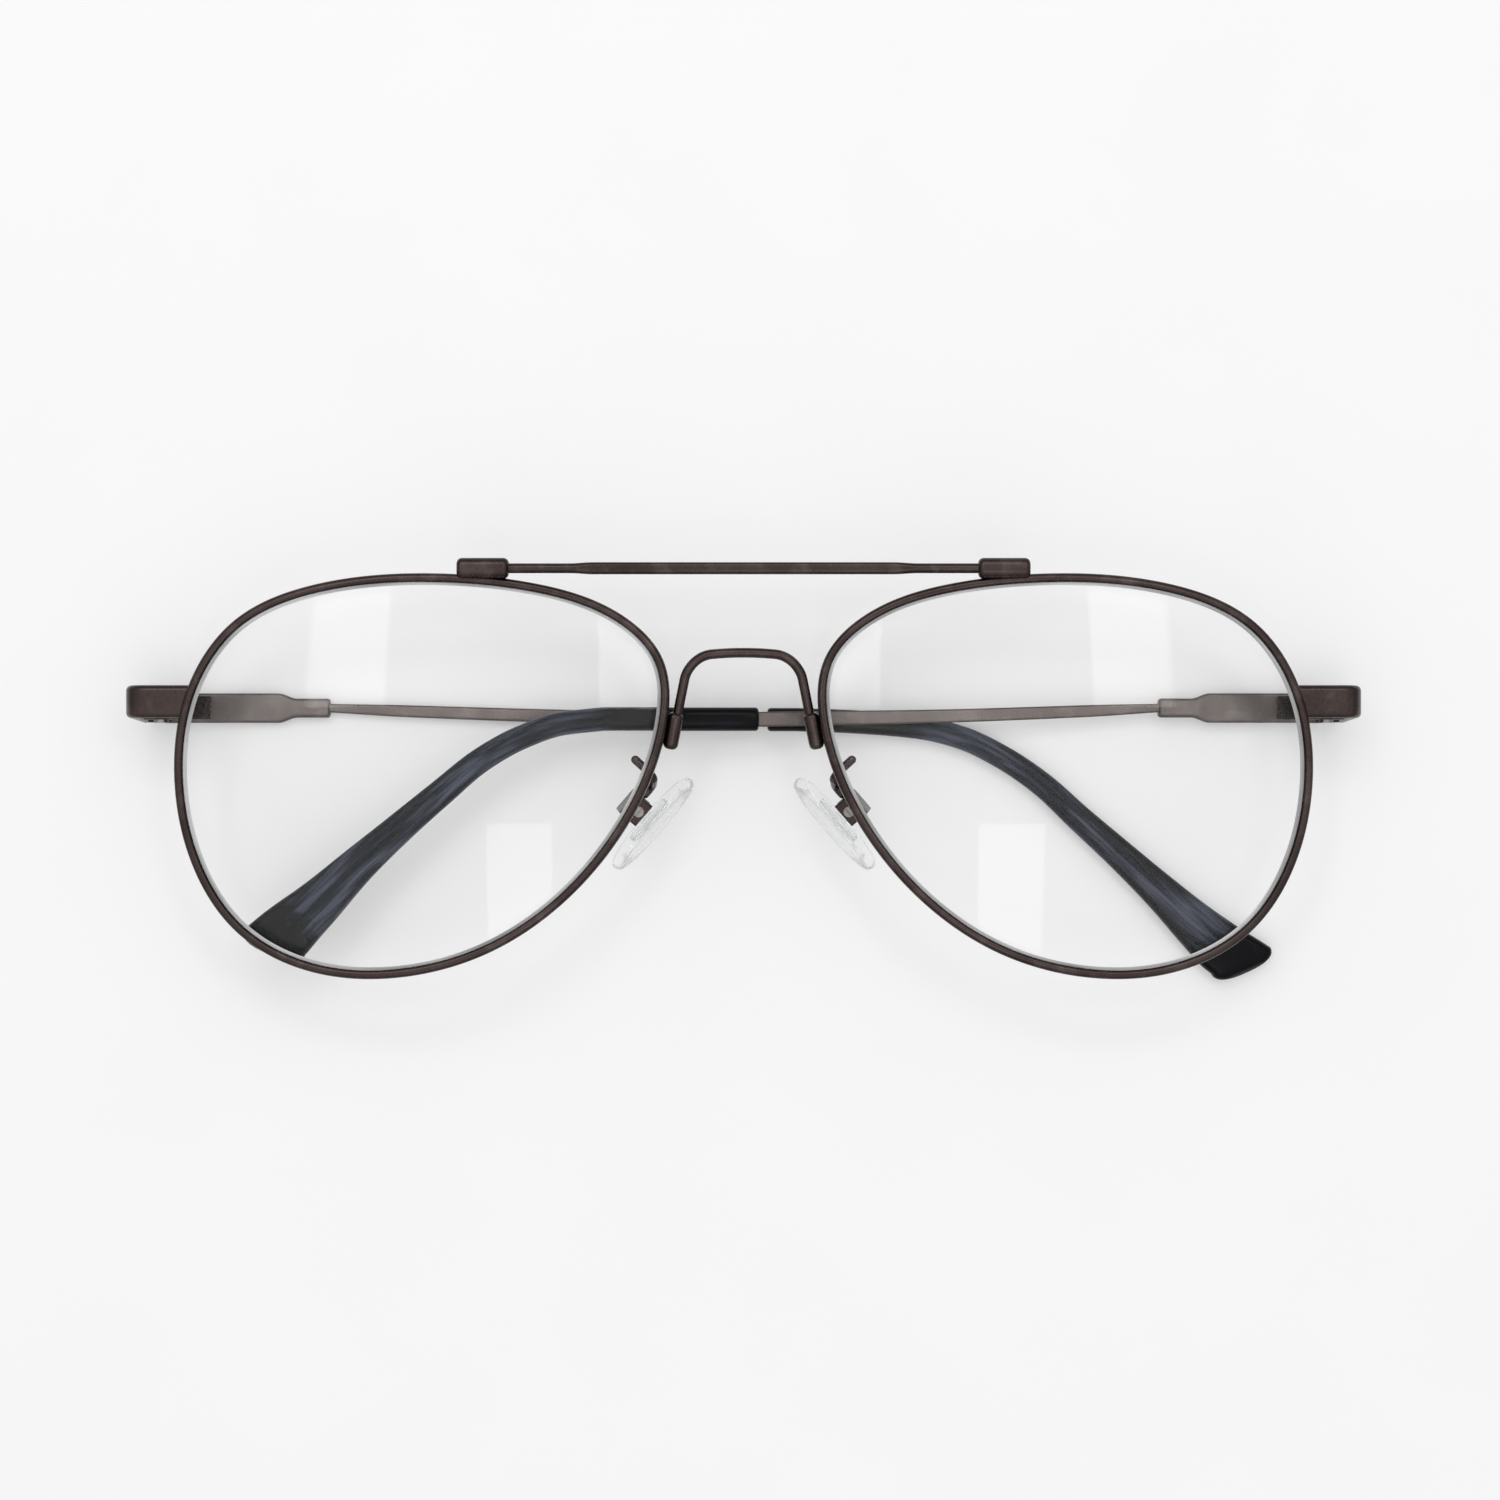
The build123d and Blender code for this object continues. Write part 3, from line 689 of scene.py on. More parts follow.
class ProfileSweep:
    """A Geometry Nodes tree that sweeps a closed profile along a path."""

    name = "profile_sweep"
    sockets = (
        ("Path", "INPUT", "NodeSocketGeometry"),
        ("Profile", "INPUT", "NodeSocketObject"),
        ("Finish", "INPUT", "NodeSocketMaterial"),
        ("Swept", "OUTPUT", "NodeSocketGeometry"),
    )

    @classmethod
    def tree(cls, turn: Turn) -> bpy.types.NodeTree:
        """Build the tree once for each way to turn.

        Args:
            turn: how the profile keeps its way up.

        Returns:
            The tree.
        """
        title = f"{cls.name}_{turn.name.lower()}"
        tree = bpy.data.node_groups.get(title)
        if tree:
            return tree
        tree = bpy.data.node_groups.new(title, "GeometryNodeTree")
        for socket, way, kind in cls.sockets:
            tree.interface.new_socket(socket, in_out=way, socket_type=kind)
        graph = Graph(tree)
        given = graph.add("NodeGroupInput").outputs
        source = {"Object": given["Profile"]}
        profile = graph.add("GeometryNodeObjectInfo", source, transform_space="ORIGINAL")
        track = graph.add("GeometryNodeSetCurveNormal", {"Curve": given["Path"]}, mode=turn.value)
        swept = {
            "Curve": track.outputs["Curve"],
            "Profile Curve": profile.outputs["Geometry"],
            "Scale": graph.add("GeometryNodeInputRadius").outputs[0],
            "Fill Caps": True,
        }
        skin = graph.add("GeometryNodeCurveToMesh", swept).outputs["Mesh"]
        solid = graph.add("GeometryNodeRealizeInstances", {"Geometry": skin}).outputs["Geometry"]
        paint = graph.add("GeometryNodeSetMaterial", {"Geometry": solid, "Material": given["Finish"]})
        graph.add("NodeGroupOutput", {"Swept": paint.outputs["Geometry"]})
        return tree

    @staticmethod
    def line(name: str, points: Points, closed: bool, sizes: Sequence[float] = ()) -> Piece:
        """Make a curve object of straight steps.

        Args:
            name: the curve's name.
            points: its points in millimetres.
            closed: whether it closes on itself.
            sizes: the profile's share of its full size at each point, if it changes.

        Returns:
            The curve object.
        """
        curve = bpy.data.curves.new(name, "CURVE")
        curve.dimensions = "3D"
        spline = curve.splines.new("POLY")
        spline.points.add(len(points) - 1)
        for knot, point in zip(spline.points, points):
            knot.co = (*(point * MM), 1.0)
        for knot, size in zip(spline.points, sizes):
            knot.radius = size
        spline.use_cyclic_u = closed
        return placed(name, curve)

    @classmethod
    def sweep(
        cls, name: str, path: Points, profile: Points, turn: Turn, sizes: Sequence[float] = ()
    ) -> Piece:
        """Sweep a profile along an open path and settle the result as a plain mesh in plating.

        Args:
            name: the piece's name.
            path: the path's points in millimetres.
            profile: the profile's points in millimetres.
            turn: how the profile keeps its way up.
            sizes: the profile's share of its full size at each point of the path, if it changes.

        Returns:
            The object.
        """
        track = cls.line(f"{name}_path", path, closed=False, sizes=sizes)
        outline = cls.line(f"{name}_profile", profile, closed=True)
        tree = cls.tree(turn)
        modifier = track.modifiers.new("sweep", "NODES")
        modifier.node_group = tree
        names = {item.name: item.identifier for item in tree.interface.items_tree if item.in_out == "INPUT"}
        modifier[names["Profile"]] = outline
        modifier[names["Finish"]] = GUNMETAL.material()
        mesh = evaluated(track)
        mesh.name = name
        piece = finish_mesh(name, mesh, GUNMETAL)
        for helper in (track, outline):
            bpy.data.objects.remove(helper)
        return piece


def flipped(piece: Piece, side: Side) -> Piece:
    """Mirror a piece of the left half onto its side.

    Args:
        piece: the piece, built on the left half.
        side: the side that it belongs to.

    Returns:
        The same piece.
    """
    if side is Side.LEFT:
        return piece
    built = bmesh.new()
    built.from_mesh(piece.data)
    for point in built.verts:
        point.co.x = -point.co.x
    bmesh.ops.reverse_faces(built, faces=built.faces)
    built.to_mesh(piece.data)
    built.free()
    return piece


def round_profile(radius: float, sides: int = 20) -> list[Vector]:
    """A round wire's section."""
    angles = [2 * pi * step / sides for step in range(sides)]
    return [Vector((radius * cos(angle), radius * sin(angle), 0)) for angle in angles]


def round_ended(path: Points, radius: float, steps: int = 5) -> tuple[list[Vector], list[float]]:
    """Close both ends of a wire's path with domes.

    Args:
        path: the path's points.
        radius: the wire's radius.
        steps: how many steps each dome takes.

    Returns:
        The path's points, and the wire's share of its radius at each.
    """
    first, last = path[0], path[-1]
    inward, outward = (path[1] - first).normalized(), (last - path[-2]).normalized()
    angles = quarter_turn(steps)[1:]
    head = [first + inward * radius * (1 - cos(angle)) for angle in angles]
    tail = [last - outward * radius * (1 - cos(angle)) for angle in angles]
    sizes = [sin(angle) for angle in angles]
    return [*head, *path[1:-1], *reversed(tail)], [*sizes, *[1.0] * (len(path) - 2), *reversed(sizes)]


def filleted(points: Points, radius: float, steps: int = 12) -> list[Vector]:
    """A path of straight runs joined by tangent arcs.

    Args:
        points: the corners and the two ends.
        radius: the arcs' radius.
        steps: how many steps each arc takes.

    Returns:
        The path's points.
    """
    path = [points[0]]
    for before, corner, after in zip(points, points[1:], points[2:]):
        back = (before - corner).normalized()
        ahead = (after - corner).normalized()
        half = back.angle(ahead) / 2
        reach = radius / tan(half)
        centre = corner + (back + ahead).normalized() * radius / sin(half)
        start = corner + back * reach - centre
        stop = corner + ahead * reach - centre
        swing = start.angle(stop)
        for step in range(steps + 1):
            share = step / steps
            mixed = start * sin((1 - share) * swing) + stop * sin(share * swing)
            path.append(centre + mixed / sin(swing))
    path.append(points[-1])
    return path


def smooth_curve(marks: Sequence[float], values: Sequence[float]) -> Callable[[float], float]:
    """A smooth curve through values, with no overshoot.

    Args:
        marks: where the values stand, rising.
        values: the values.

    Returns:
        A function of a mark.
    """
    spans = [after - before for before, after in zip(marks, marks[1:])]
    rises = [(b - a) / span for a, b, span in zip(values, values[1:], spans)]
    slopes = [rises[0]]
    for left, right, one, two in zip(rises, rises[1:], spans, spans[1:]):
        if left * right <= 0:
            slopes.append(0.0)
            continue
        first, second = 2 * two + one, two + 2 * one
        slopes.append((first + second) / (first / left + second / right))
    slopes.append(rises[-1])

    def value(mark: float) -> float:
        """The curve's value at a mark."""
        index = 0
        while index < len(spans) - 1 and mark > marks[index + 1]:
            index += 1
        span = spans[index]
        t = (mark - marks[index]) / span
        ends = (values[index], slopes[index] * span, values[index + 1], slopes[index + 1] * span)
        return float(np.array((1, t, t**2, t**3)) @ HERMITE @ np.array(ends))

    return value


@dataclass
class LensOutline:
    """The teardrop outline of a lens, in shares of half its width and height, on a curved sheet."""

    width: float = 54.0
    height: float = 43.9
    gap: float = 18.0
    crown_height: float = 13.8
    base_radius: float = 120.0
    rim_half_depth: float = 1.1
    stations: int = 240
    shares: tuple = (
        (1.000, 0.000),
        (0.955, 0.410),
        (0.760, 0.768),
        (0.441, 0.942),
        (-0.015, 1.000),
        (-0.469, 0.950),
        (-0.812, 0.800),
        (-0.975, 0.590),
        (-0.990, 0.245),
        (-0.860, -0.185),
        (-0.597, -0.600),
        (-0.275, -0.872),
        (0.130, -1.000),
        (0.450, -0.968),
        (0.748, -0.775),
        (0.934, -0.420),
    )
    centre: Vector = field(init=False)
    places: np.ndarray = field(init=False)
    normals: np.ndarray = field(init=False)

    def __post_init__(self) -> None:
        """Find the lens centre from the frame and lay the closed curve through the outline's points."""
        low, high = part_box("left_lens")
        self.centre = Vector(((self.gap + self.width) / 2, (low.y + high.y) / 2 / MM, 0))
        knots = np.array(self.shares) * (self.width / 2, self.height / 2)
        ahead = np.roll(knots, -1, axis=0)
        chord = np.linalg.norm(ahead - knots, axis=1)
        before = np.roll(chord, 1)
        count = len(knots)
        system = np.zeros((count, count))
        rise = np.zeros((count, 2))
        for index in range(count):
            system[index, index - 1] = chord[index]
            system[index, index] = 2 * (before[index] + chord[index])
            system[index, (index + 1) % count] = before[index]
            arrive = (knots[index] - knots[index - 1]) / before[index]
            depart = (ahead[index] - knots[index]) / chord[index]
            rise[index] = 3 * (chord[index] * arrive + before[index] * depart)
        slopes = np.linalg.solve(system, rise)
        marks = np.concatenate(([0.0], np.cumsum(chord)))
        places, ways = [], []
        for distance in np.linspace(0.0, marks[-1], self.stations, endpoint=False):
            index = min(int(np.searchsorted(marks, distance, side="right")) - 1, count - 1)
            span = chord[index]
            t = (distance - marks[index]) / span
            after = (index + 1) % count
            ends = (knots[index], slopes[index] * span, knots[after], slopes[after] * span)
            piece = HERMITE @ np.array(ends)
            places.append(np.array((1, t, t**2, t**3)) @ piece)
            ways.append(np.array((0, 1, 2 * t, 3 * t**2)) @ piece)
        self.places, ways = np.array(places), np.array(ways)
        self.normals = np.stack((ways[:, 1], -ways[:, 0]), axis=1) / np.linalg.norm(ways, axis=1)[:, None]

    def level(self, x: float, y: float, offset: float = 0.0) -> float:
        """Height over the table of the curved sheet.

        Args:
            x: place from the lens centre.
            y: place from the lens centre.
            offset: distance in front of the sheet's middle.

        Returns:
            The height in millimetres.
        """
        radius = self.base_radius + offset
        return self.crown_height - self.base_radius + sqrt(radius**2 - x**2 - y**2)

    def ring(self, grow: float, offset: float, share: float = 1.0) -> list[Vector]:
        """The outline as points on the curved sheet.

        Args:
            grow: how far it is moved out.
            offset: how far it lies in front of the sheet's middle.
            share: how much of its size is kept.

        Returns:
            The points of the left half's ring.
        """
        loop = (self.places + self.normals * grow) * share
        return [Vector((self.centre.x + x, self.centre.y + y, self.level(x, y, offset))) for x, y in loop]


@dataclass
class Eye:
    """A rim and its lens."""

    outline: LensOutline
    side: Side
    rim_outer: float = 0.62
    rim_inner: float = -0.36
    outer_round: float = 0.50
    inner_round: float = 0.34
    round_steps: int = 7
    groove_half: float = 0.45
    groove_floor: float = 0.05
    slit_half: float = 0.06
    lens_half: float = 1.0
    lens_edge: float = -0.41
    lens_chamfer: float = 0.3
    tongue_half: float = 0.35
    tongue_chamfer: float = 0.1
    edge_facing: float = 0.85
    lens_rings: tuple = (0.985, 0.95, 0.9, 0.8, 0.7, 0.6, 0.5, 0.4, 0.3, 0.2, 0.1, 0.04)

    def rim_profile(self) -> list[Vector]:
        """The rim's grooved section: x points out of the lens, y to the table."""
        half = self.outline.rim_half_depth
        outer = (self.rim_outer - self.outer_round, half - self.outer_round, self.outer_round)
        inner = (self.rim_inner + self.inner_round, half - self.inner_round, self.inner_round)
        points = []
        for (x, y, radius), start in ((outer, 0.0), (inner, pi / 2)):
            for turn in quarter_turn(self.round_steps):
                points.append((x + radius * cos(start + turn), y + radius * sin(start + turn)))
        points += [(self.rim_inner, self.groove_half), (self.groove_floor, self.groove_half)]
        lower = [(x, -y) for x, y in reversed(points)]
        return [Vector((x, -y, 0)) for x, y in points + lower]

    def rim(self) -> Piece:
        """Sweep the rim round the lens, from one side of its slit to the other."""
        places = self.outline.ring(0.0, 0.0)
        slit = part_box("left_rim_lock_upper")[0].y / MM
        upper, lower = slit + self.slit_half, slit - self.slit_half
        outer_half = [index for index, place in enumerate(places) if place.x > self.outline.centre.x]
        start = min(outer_half, key=lambda index: abs(places[index].y - slit))
        path = places[start:] + places[:start]
        if path[0].y < upper:
            path = path[1:] + path[:1]
        first, last = path[0], path[-1]
        trail = [first.lerp(last, (first.y - upper) / (first.y - last.y)), *path]
        if last.y < lower:
            trail.append(first.lerp(last, (first.y - lower) / (first.y - last.y)))
        piece = ProfileSweep.sweep(f"{self.side.word}_rim_wire", trail, self.rim_profile(), Turn.UPRIGHT)
        return flipped(piece, self.side)

    def lens(self) -> Piece:
        """Build the lens: two curved faces, chamfered edges and the tongue that sits in the groove."""
        edge, half, tongue = self.lens_edge, self.lens_half, self.tongue_half
        inner = edge - self.lens_chamfer
        flat = tongue - self.tongue_chamfer
        shoulder = half - self.lens_chamfer
        rings = [(inner, half, share) for share in reversed(self.lens_rings)]
        rings += [(inner, half), (edge, shoulder), (edge, tongue), (0.0, flat)]
        rings += [(0.0, -flat), (edge, -tongue), (edge, -shoulder), (inner, -half)]
        rings += [(inner, -half, share) for share in self.lens_rings]
        loops = [mirrored(self.outline.ring(*row), self.side) for row in rings]
        piece = loft_rings(f"{self.side.word}_lens_blank", loops, LENS_CLEAR)
        piece.data.materials.append(LENS_EDGE.material())
        for face in piece.data.polygons:
            if abs(face.normal.z) < self.edge_facing:
                face.material_index = 1
        return piece

    def build(self) -> None:
        """Build both pieces and hand them to the frame."""
        settle(self.rim(), "front", Slot.GUNMETAL, f"{self.side.word}_rim")
        settle(self.lens(), "front", Slot.LENS, f"{self.side.word}_lens")


@dataclass
class Bridges:
    """The brow bar, the lower bridge and the four sleeves that hold them to the rims.

    The bar's sizes are its height, its depth and its corner's radius.
    """

    outline: LensOutline
    bar_rise: float = 23.1
    bar_lift: float = 1.15
    bar_root: tuple = (1.1, 1.1, 0.5)
    bar_middle: tuple = (1.35, 0.95, 0.42)
    bar_flat: float = 33.5
    bar_taper: float = 2.6
    bar_steps: int = 6
    bar_seat: float = 4.2
    bar_root_length: float = 2.0
    sleeve_inner: float = 26.1
    sleeve_length: float = 5.8
    sleeve_sizes: tuple = (2.3, 2.1, 0.85)
    end_round: float = 0.6
    wire_radius: float = 0.55
    wire_sides: int = 24
    bow_top: float = 13.75
    bow_half: float = 6.1
    bow_corner: float = 3.1
    bow_corner_steps: int = 18
    bow_top_steps: int = 10
    bow_forward: float = 1.4
    bow_splay: float = 11.5
    bow_sag: float = 0.5
    foot_top: float = 7.0
    foot_length: float = 4.2
    foot_sizes: tuple = (1.9, 1.7, 0.7)
    foot_seat: float = 3.0

    def bar_section(self, x: float, sizes: Sequence[float]) -> Section:
        """A section of the bar or of its sleeve, at a place along it."""
        middle = self.sleeve_inner + self.sleeve_length / 2
        level = self.outline.level(middle - self.outline.centre.x, self.bar_rise) + self.bar_lift
        place = Vector((x, self.outline.centre.y + self.bar_rise, level))
        return Section(place, UP_THE_PAGE, OFF_THE_TABLE, *sizes)

    def bar(self) -> Piece:
        """Build the bar: round at its ends and pressed flatter between them."""
        end = self.sleeve_inner + self.bar_seat
        flat = self.bar_flat / 2
        half = []
        for step in range(self.bar_steps + 1):
            share = step / self.bar_steps
            sizes = blend(self.bar_middle, self.bar_root, eased(share))
            half.append(self.bar_section(flat + self.bar_taper * share, sizes))
        half += [self.bar_section(x, self.bar_root) for x in (end - self.bar_root_length, end)]
        right = [replace(cut, origin=Vector((-cut.origin.x, *cut.origin.yz))) for cut in reversed(half)]
        middle = [self.bar_section(x, self.bar_middle) for x in (-flat / 2, 0.0, flat / 2)]
        return loft("brow_bar", right + middle + half, Side.LEFT, GUNMETAL)

    def bar_sleeve(self, side: Side) -> Piece:
        """Build the block that holds an end of the bar on the rim."""
        start = self.bar_section(self.sleeve_inner, self.sleeve_sizes)
        run = TO_THE_LEFT * self.sleeve_length
        return rounded_block(f"{side.word}_brow_bar_sleeve", start, run, self.end_round, side)

    def bow(self) -> tuple[list[Vector], Vector]:
        """The lower bridge's path from the right to the left, and the way that its plane faces."""
        middle_y = self.foot_top - self.foot_length / 2
        level = self.outline.level(self.bow_half - self.outline.centre.x, middle_y) + self.bow_forward
        facing = Vector((0, -self.bow_forward, self.bow_top - middle_y)).normalized()
        rise = facing.cross(TO_THE_LEFT)
        origin = Vector((0, self.outline.centre.y + self.bow_top, level))
        turn = radians(self.bow_splay)
        leg = (self.bow_top - self.foot_top) / cos(turn) + self.foot_seat
        foot = (self.bow_half + leg * sin(turn), -leg * cos(turn))
        corners = ((-foot[0], foot[1]), (-self.bow_half, 0.0), (self.bow_half, 0.0), foot)
        points = [origin + TO_THE_LEFT * x + rise * y for x, y in corners]
        return filleted(points, self.bow_corner, self.bow_corner_steps), facing

    def bridge(self) -> Piece:
        """Sweep the bowed wire, which arches a little between its corners."""
        path, facing = self.bow()
        rise = facing.cross(TO_THE_LEFT)
        half = len(path) // 2
        before, after = path[half - 1], path[half]
        top = [before.lerp(after, step / self.bow_top_steps) for step in range(self.bow_top_steps)]
        route = [path[0], path[0].lerp(path[1], 0.5), *path[1 : half - 1], *top, *path[half:]]
        arched = [point - rise * self.bow_sag * min(1.0, (point.x / self.bow_half) ** 2) for point in route]
        profile = round_profile(self.wire_radius, self.wire_sides)
        return ProfileSweep.sweep("bowed_bridge_wire", arched, profile, Turn.LEAST_TWIST)

    def bridge_sleeve(self, side: Side) -> Piece:
        """Build the block that holds a foot of the lower bridge beside the rim."""
        path, facing = self.bow()
        way = (path[-1] - path[-2]).normalized()
        start = Section(path[-1] - way * self.foot_seat, facing, way.cross(facing), *self.foot_sizes)
        run = way * self.foot_length
        return rounded_block(f"{side.word}_bridge_foot_sleeve", start, run, self.end_round, side)

    def build(self) -> None:
        """Build all six pieces and hand them to the frame."""
        settle(self.bar(), "front", Slot.GUNMETAL, "top_bar")
        settle(self.bridge(), "front", Slot.GUNMETAL, "lower_bridge")
        for side in Side:
            settle(self.bar_sleeve(side), "front", Slot.GUNMETAL, f"{side.word}_top_bar_sleeve")
            settle(self.bridge_sleeve(side), "front", Slot.GUNMETAL, f"{side.word}_bridge_sleeve")


@dataclass
class Endpiece:
    """The plate beside a rim that turns back round the corner into the leg that carries the hinge."""

    outline: LensOutline
    side: Side
    frame_width: float = 139.0
    thickness: float = 1.3
    height: float = 3.7
    leg_height: float = 3.4
    rise: float = 8.3
    temple_rise: float = 7.7
    corner: float = 2.2
    rounding: float = 0.6
    end_round: float = 0.2
    rim_reach: float = 27.75
    rim_inset: float = 1.5
    rim_slope: float = -0.276
    plate_drop: float = 0.1
    leg_end: float = 2.51
    steps: int = 12

    def build(self) -> None:
        """Loft the endpiece round its corner and hand it to the frame."""
        y = self.outline.centre.y + self.rise
        front = self.outline.level(self.rim_reach, self.rise) + self.outline.rim_half_depth - self.plate_drop
        outer = self.frame_width / 2
        turn_z = front - self.corner
        sizes = (self.height, self.thickness, self.rounding)
        rim = Vector((self.outline.centre.x + self.rim_reach, y, front - self.thickness / 2))
        slanted = Vector((self.rim_slope, 1, 0))
        sections = [
            Section(rim - TO_THE_LEFT * self.rim_inset, slanted, OFF_THE_TABLE, *sizes),
            Section(rim, UP_THE_PAGE, OFF_THE_TABLE, *sizes),
        ]
        for angle in quarter_turn(self.steps):
            out = Vector((sin(angle), 0, cos(angle)))
            place = Vector((outer - self.corner, y, turn_z)) + out * (self.corner - self.thickness / 2)
            sections.append(Section(place, UP_THE_PAGE, out, *sizes))
        for share in (0.5, 1.0):
            drop, aside, tall = blend(
                (turn_z, self.rise, self.height), (self.leg_end, self.temple_rise, self.leg_height), share
            )
            place = Vector((outer - self.thickness / 2, self.outline.centre.y + aside, drop))
            sections.append(Section(place, UP_THE_PAGE, TO_THE_LEFT, tall, self.thickness, self.rounding))
        sections[-1:] = rounded_end(sections[-1], -OFF_THE_TABLE, self.end_round, steps=3)
        piece = loft(f"{self.side.word}_endpiece_plate", sections, self.side, GUNMETAL)
        settle(piece, "front", Slot.GUNMETAL, f"{self.side.word}_endpiece")


@dataclass
class NosePad:
    """A clear pad and the arm that carries it.

    Each row of the pad's hollow holds how far its ring is drawn in and how far it stands off the seat.
    """

    outline: LensOutline
    side: Side
    length: float = 13.4
    width: float = 6.8
    thickness: float = 1.7
    edge_round: float = 0.8
    edge_steps: int = 6
    hollow: tuple = ((3.3, 0.3), (2.6, 0.3), (1.9, 0.22), (1.5, 0.05), (1.1, 0.0))
    crown: float = 0.15
    crown_shares: tuple = (0.35, 0.55, 0.75, 0.9, 0.97)
    splay: float = 41.0
    tilt: float = 14.0
    pivot_x: float = 12.2
    pivot_y: float = -3.9
    pivot_back: float = 7.4
    standoff: float = 1.75
    box_length: float = 3.0
    arm_radius: float = 0.48
    arm_bend: float = 0.9
    arm_foot: tuple = (12.6, 2.1)
    arm_knee: tuple = (10.1, -0.2)
    arm_sink: float = 0.06
    arm_straight: float = 1.7
    arm_level: float = -0.4
    steps: int = 56

    def place(self, along: float, aside: float, out: float) -> Vector:
        """A point given along, across and out of the pad's seat."""
        splay, tilt = radians(self.splay), radians(self.tilt)
        x_way = Vector((sin(splay), -cos(splay), 0))
        z_way = Vector((-cos(splay) * cos(tilt), -sin(splay) * cos(tilt), -sin(tilt)))
        pivot_y = self.outline.centre.y + self.pivot_y
        pivot = Vector((self.pivot_x, pivot_y, self.outline.crown_height - self.pivot_back))
        return pivot + x_way * along + z_way.cross(x_way) * aside + z_way * out

    def pad_ring(self, inset: float, out: float) -> list[Vector]:
        """An oval ring of the pad on its side, drawn in by inset."""
        half_x, half_y = self.length / 2 - inset, self.width / 2 - inset
        angles = [2 * pi * step / self.steps for step in range(self.steps)]
        ring = [self.place(half_x * cos(angle), half_y * sin(angle), out) for angle in angles]
        return mirrored(ring, self.side)

    def pad(self) -> Piece:
        """Build the pillow-shaped pad, hollowed a little where the core sits."""
        low, high = self.standoff, self.standoff + self.thickness
        r = self.edge_round
        angles = quarter_turn(self.edge_steps)
        rows = [(inset, low + out) for inset, out in self.hollow]
        rows += [(r * (1 - sin(angle)), low + r * (1 - cos(angle))) for angle in angles]
        rows += [(r * (1 - cos(angle)), high - self.crown - r * (1 - sin(angle))) for angle in angles]
        for share in self.crown_shares:
            rows.append((r + (self.width / 2 - r) * share, high - self.crown * (1 - share) ** 2))
        rings = [self.pad_ring(*row) for row in rows]
        return loft_rings(f"{self.side.word}_silicone_pad", rings, PAD_CLEAR)

    def arm(self) -> Piece:
        """Sweep the bent arm from behind the rim to the pad's box."""
        sheet = self.outline.level(self.arm_knee[0] - self.outline.centre.x, self.arm_knee[1])
        level = sheet - self.outline.rim_half_depth - self.arm_radius + self.arm_sink
        y = self.outline.centre.y
        corners = [Vector((spot[0], y + spot[1], level)) for spot in (self.arm_foot, self.arm_knee)]
        for reach in (self.box_length / 2 + self.arm_straight, self.box_length / 2):
            corners.append(self.place(-reach, 0, self.arm_level))
        path, sizes = round_ended(filleted(corners, self.arm_bend), self.arm_radius)
        profile = round_profile(self.arm_radius)
        piece = ProfileSweep.sweep(f"{self.side.word}_pad_arm_wire", path, profile, Turn.LEAST_TWIST, sizes)
        return flipped(piece, self.side)

    def build(self) -> None:
        """Build the pad and its arm and hand them to the frame."""
        settle(self.pad(), f"{self.side.word}_pad", Slot.PAD, f"{self.side.word}_nose_pad")
        settle(self.arm(), "front", Slot.GUNMETAL, f"{self.side.word}_pad_arm")


LATE_BEND = (
    (0.300, 0.000, 0, 0.00),
    (0.382, 0.020, 15, 0.00),
    (0.458, 0.074, 25, 0.01),
    (0.536, 0.165, 36, 0.03),
    (0.612, 0.295, 40, 0.08),
    (0.691, 0.435, 42, 0.16),
    (0.769, 0.579, 43, 0.31),
    (0.845, 0.731, 48, 0.57),
    (0.896, 0.824, 57, 0.81),
    (0.929, 0.889, 68, 1.00),
)
EARLY_BEND = (
    (0.060, 0.000, 0, 0.00),
    (0.180, 0.010, 3, 0.00),
    (0.300, 0.030, 8, 0.00),
    (0.382, 0.068, 19, 0.00),
    (0.458, 0.136, 30, 0.01),
    (0.536, 0.235, 38, 0.03),
    (0.612, 0.365, 42, 0.08),
    (0.691, 0.497, 42, 0.16),
    (0.769, 0.632, 43, 0.31),
    (0.845, 0.766, 46, 0.57),
    (0.896, 0.846, 55, 0.81),
    (0.929, 0.888, 66, 1.00),
)


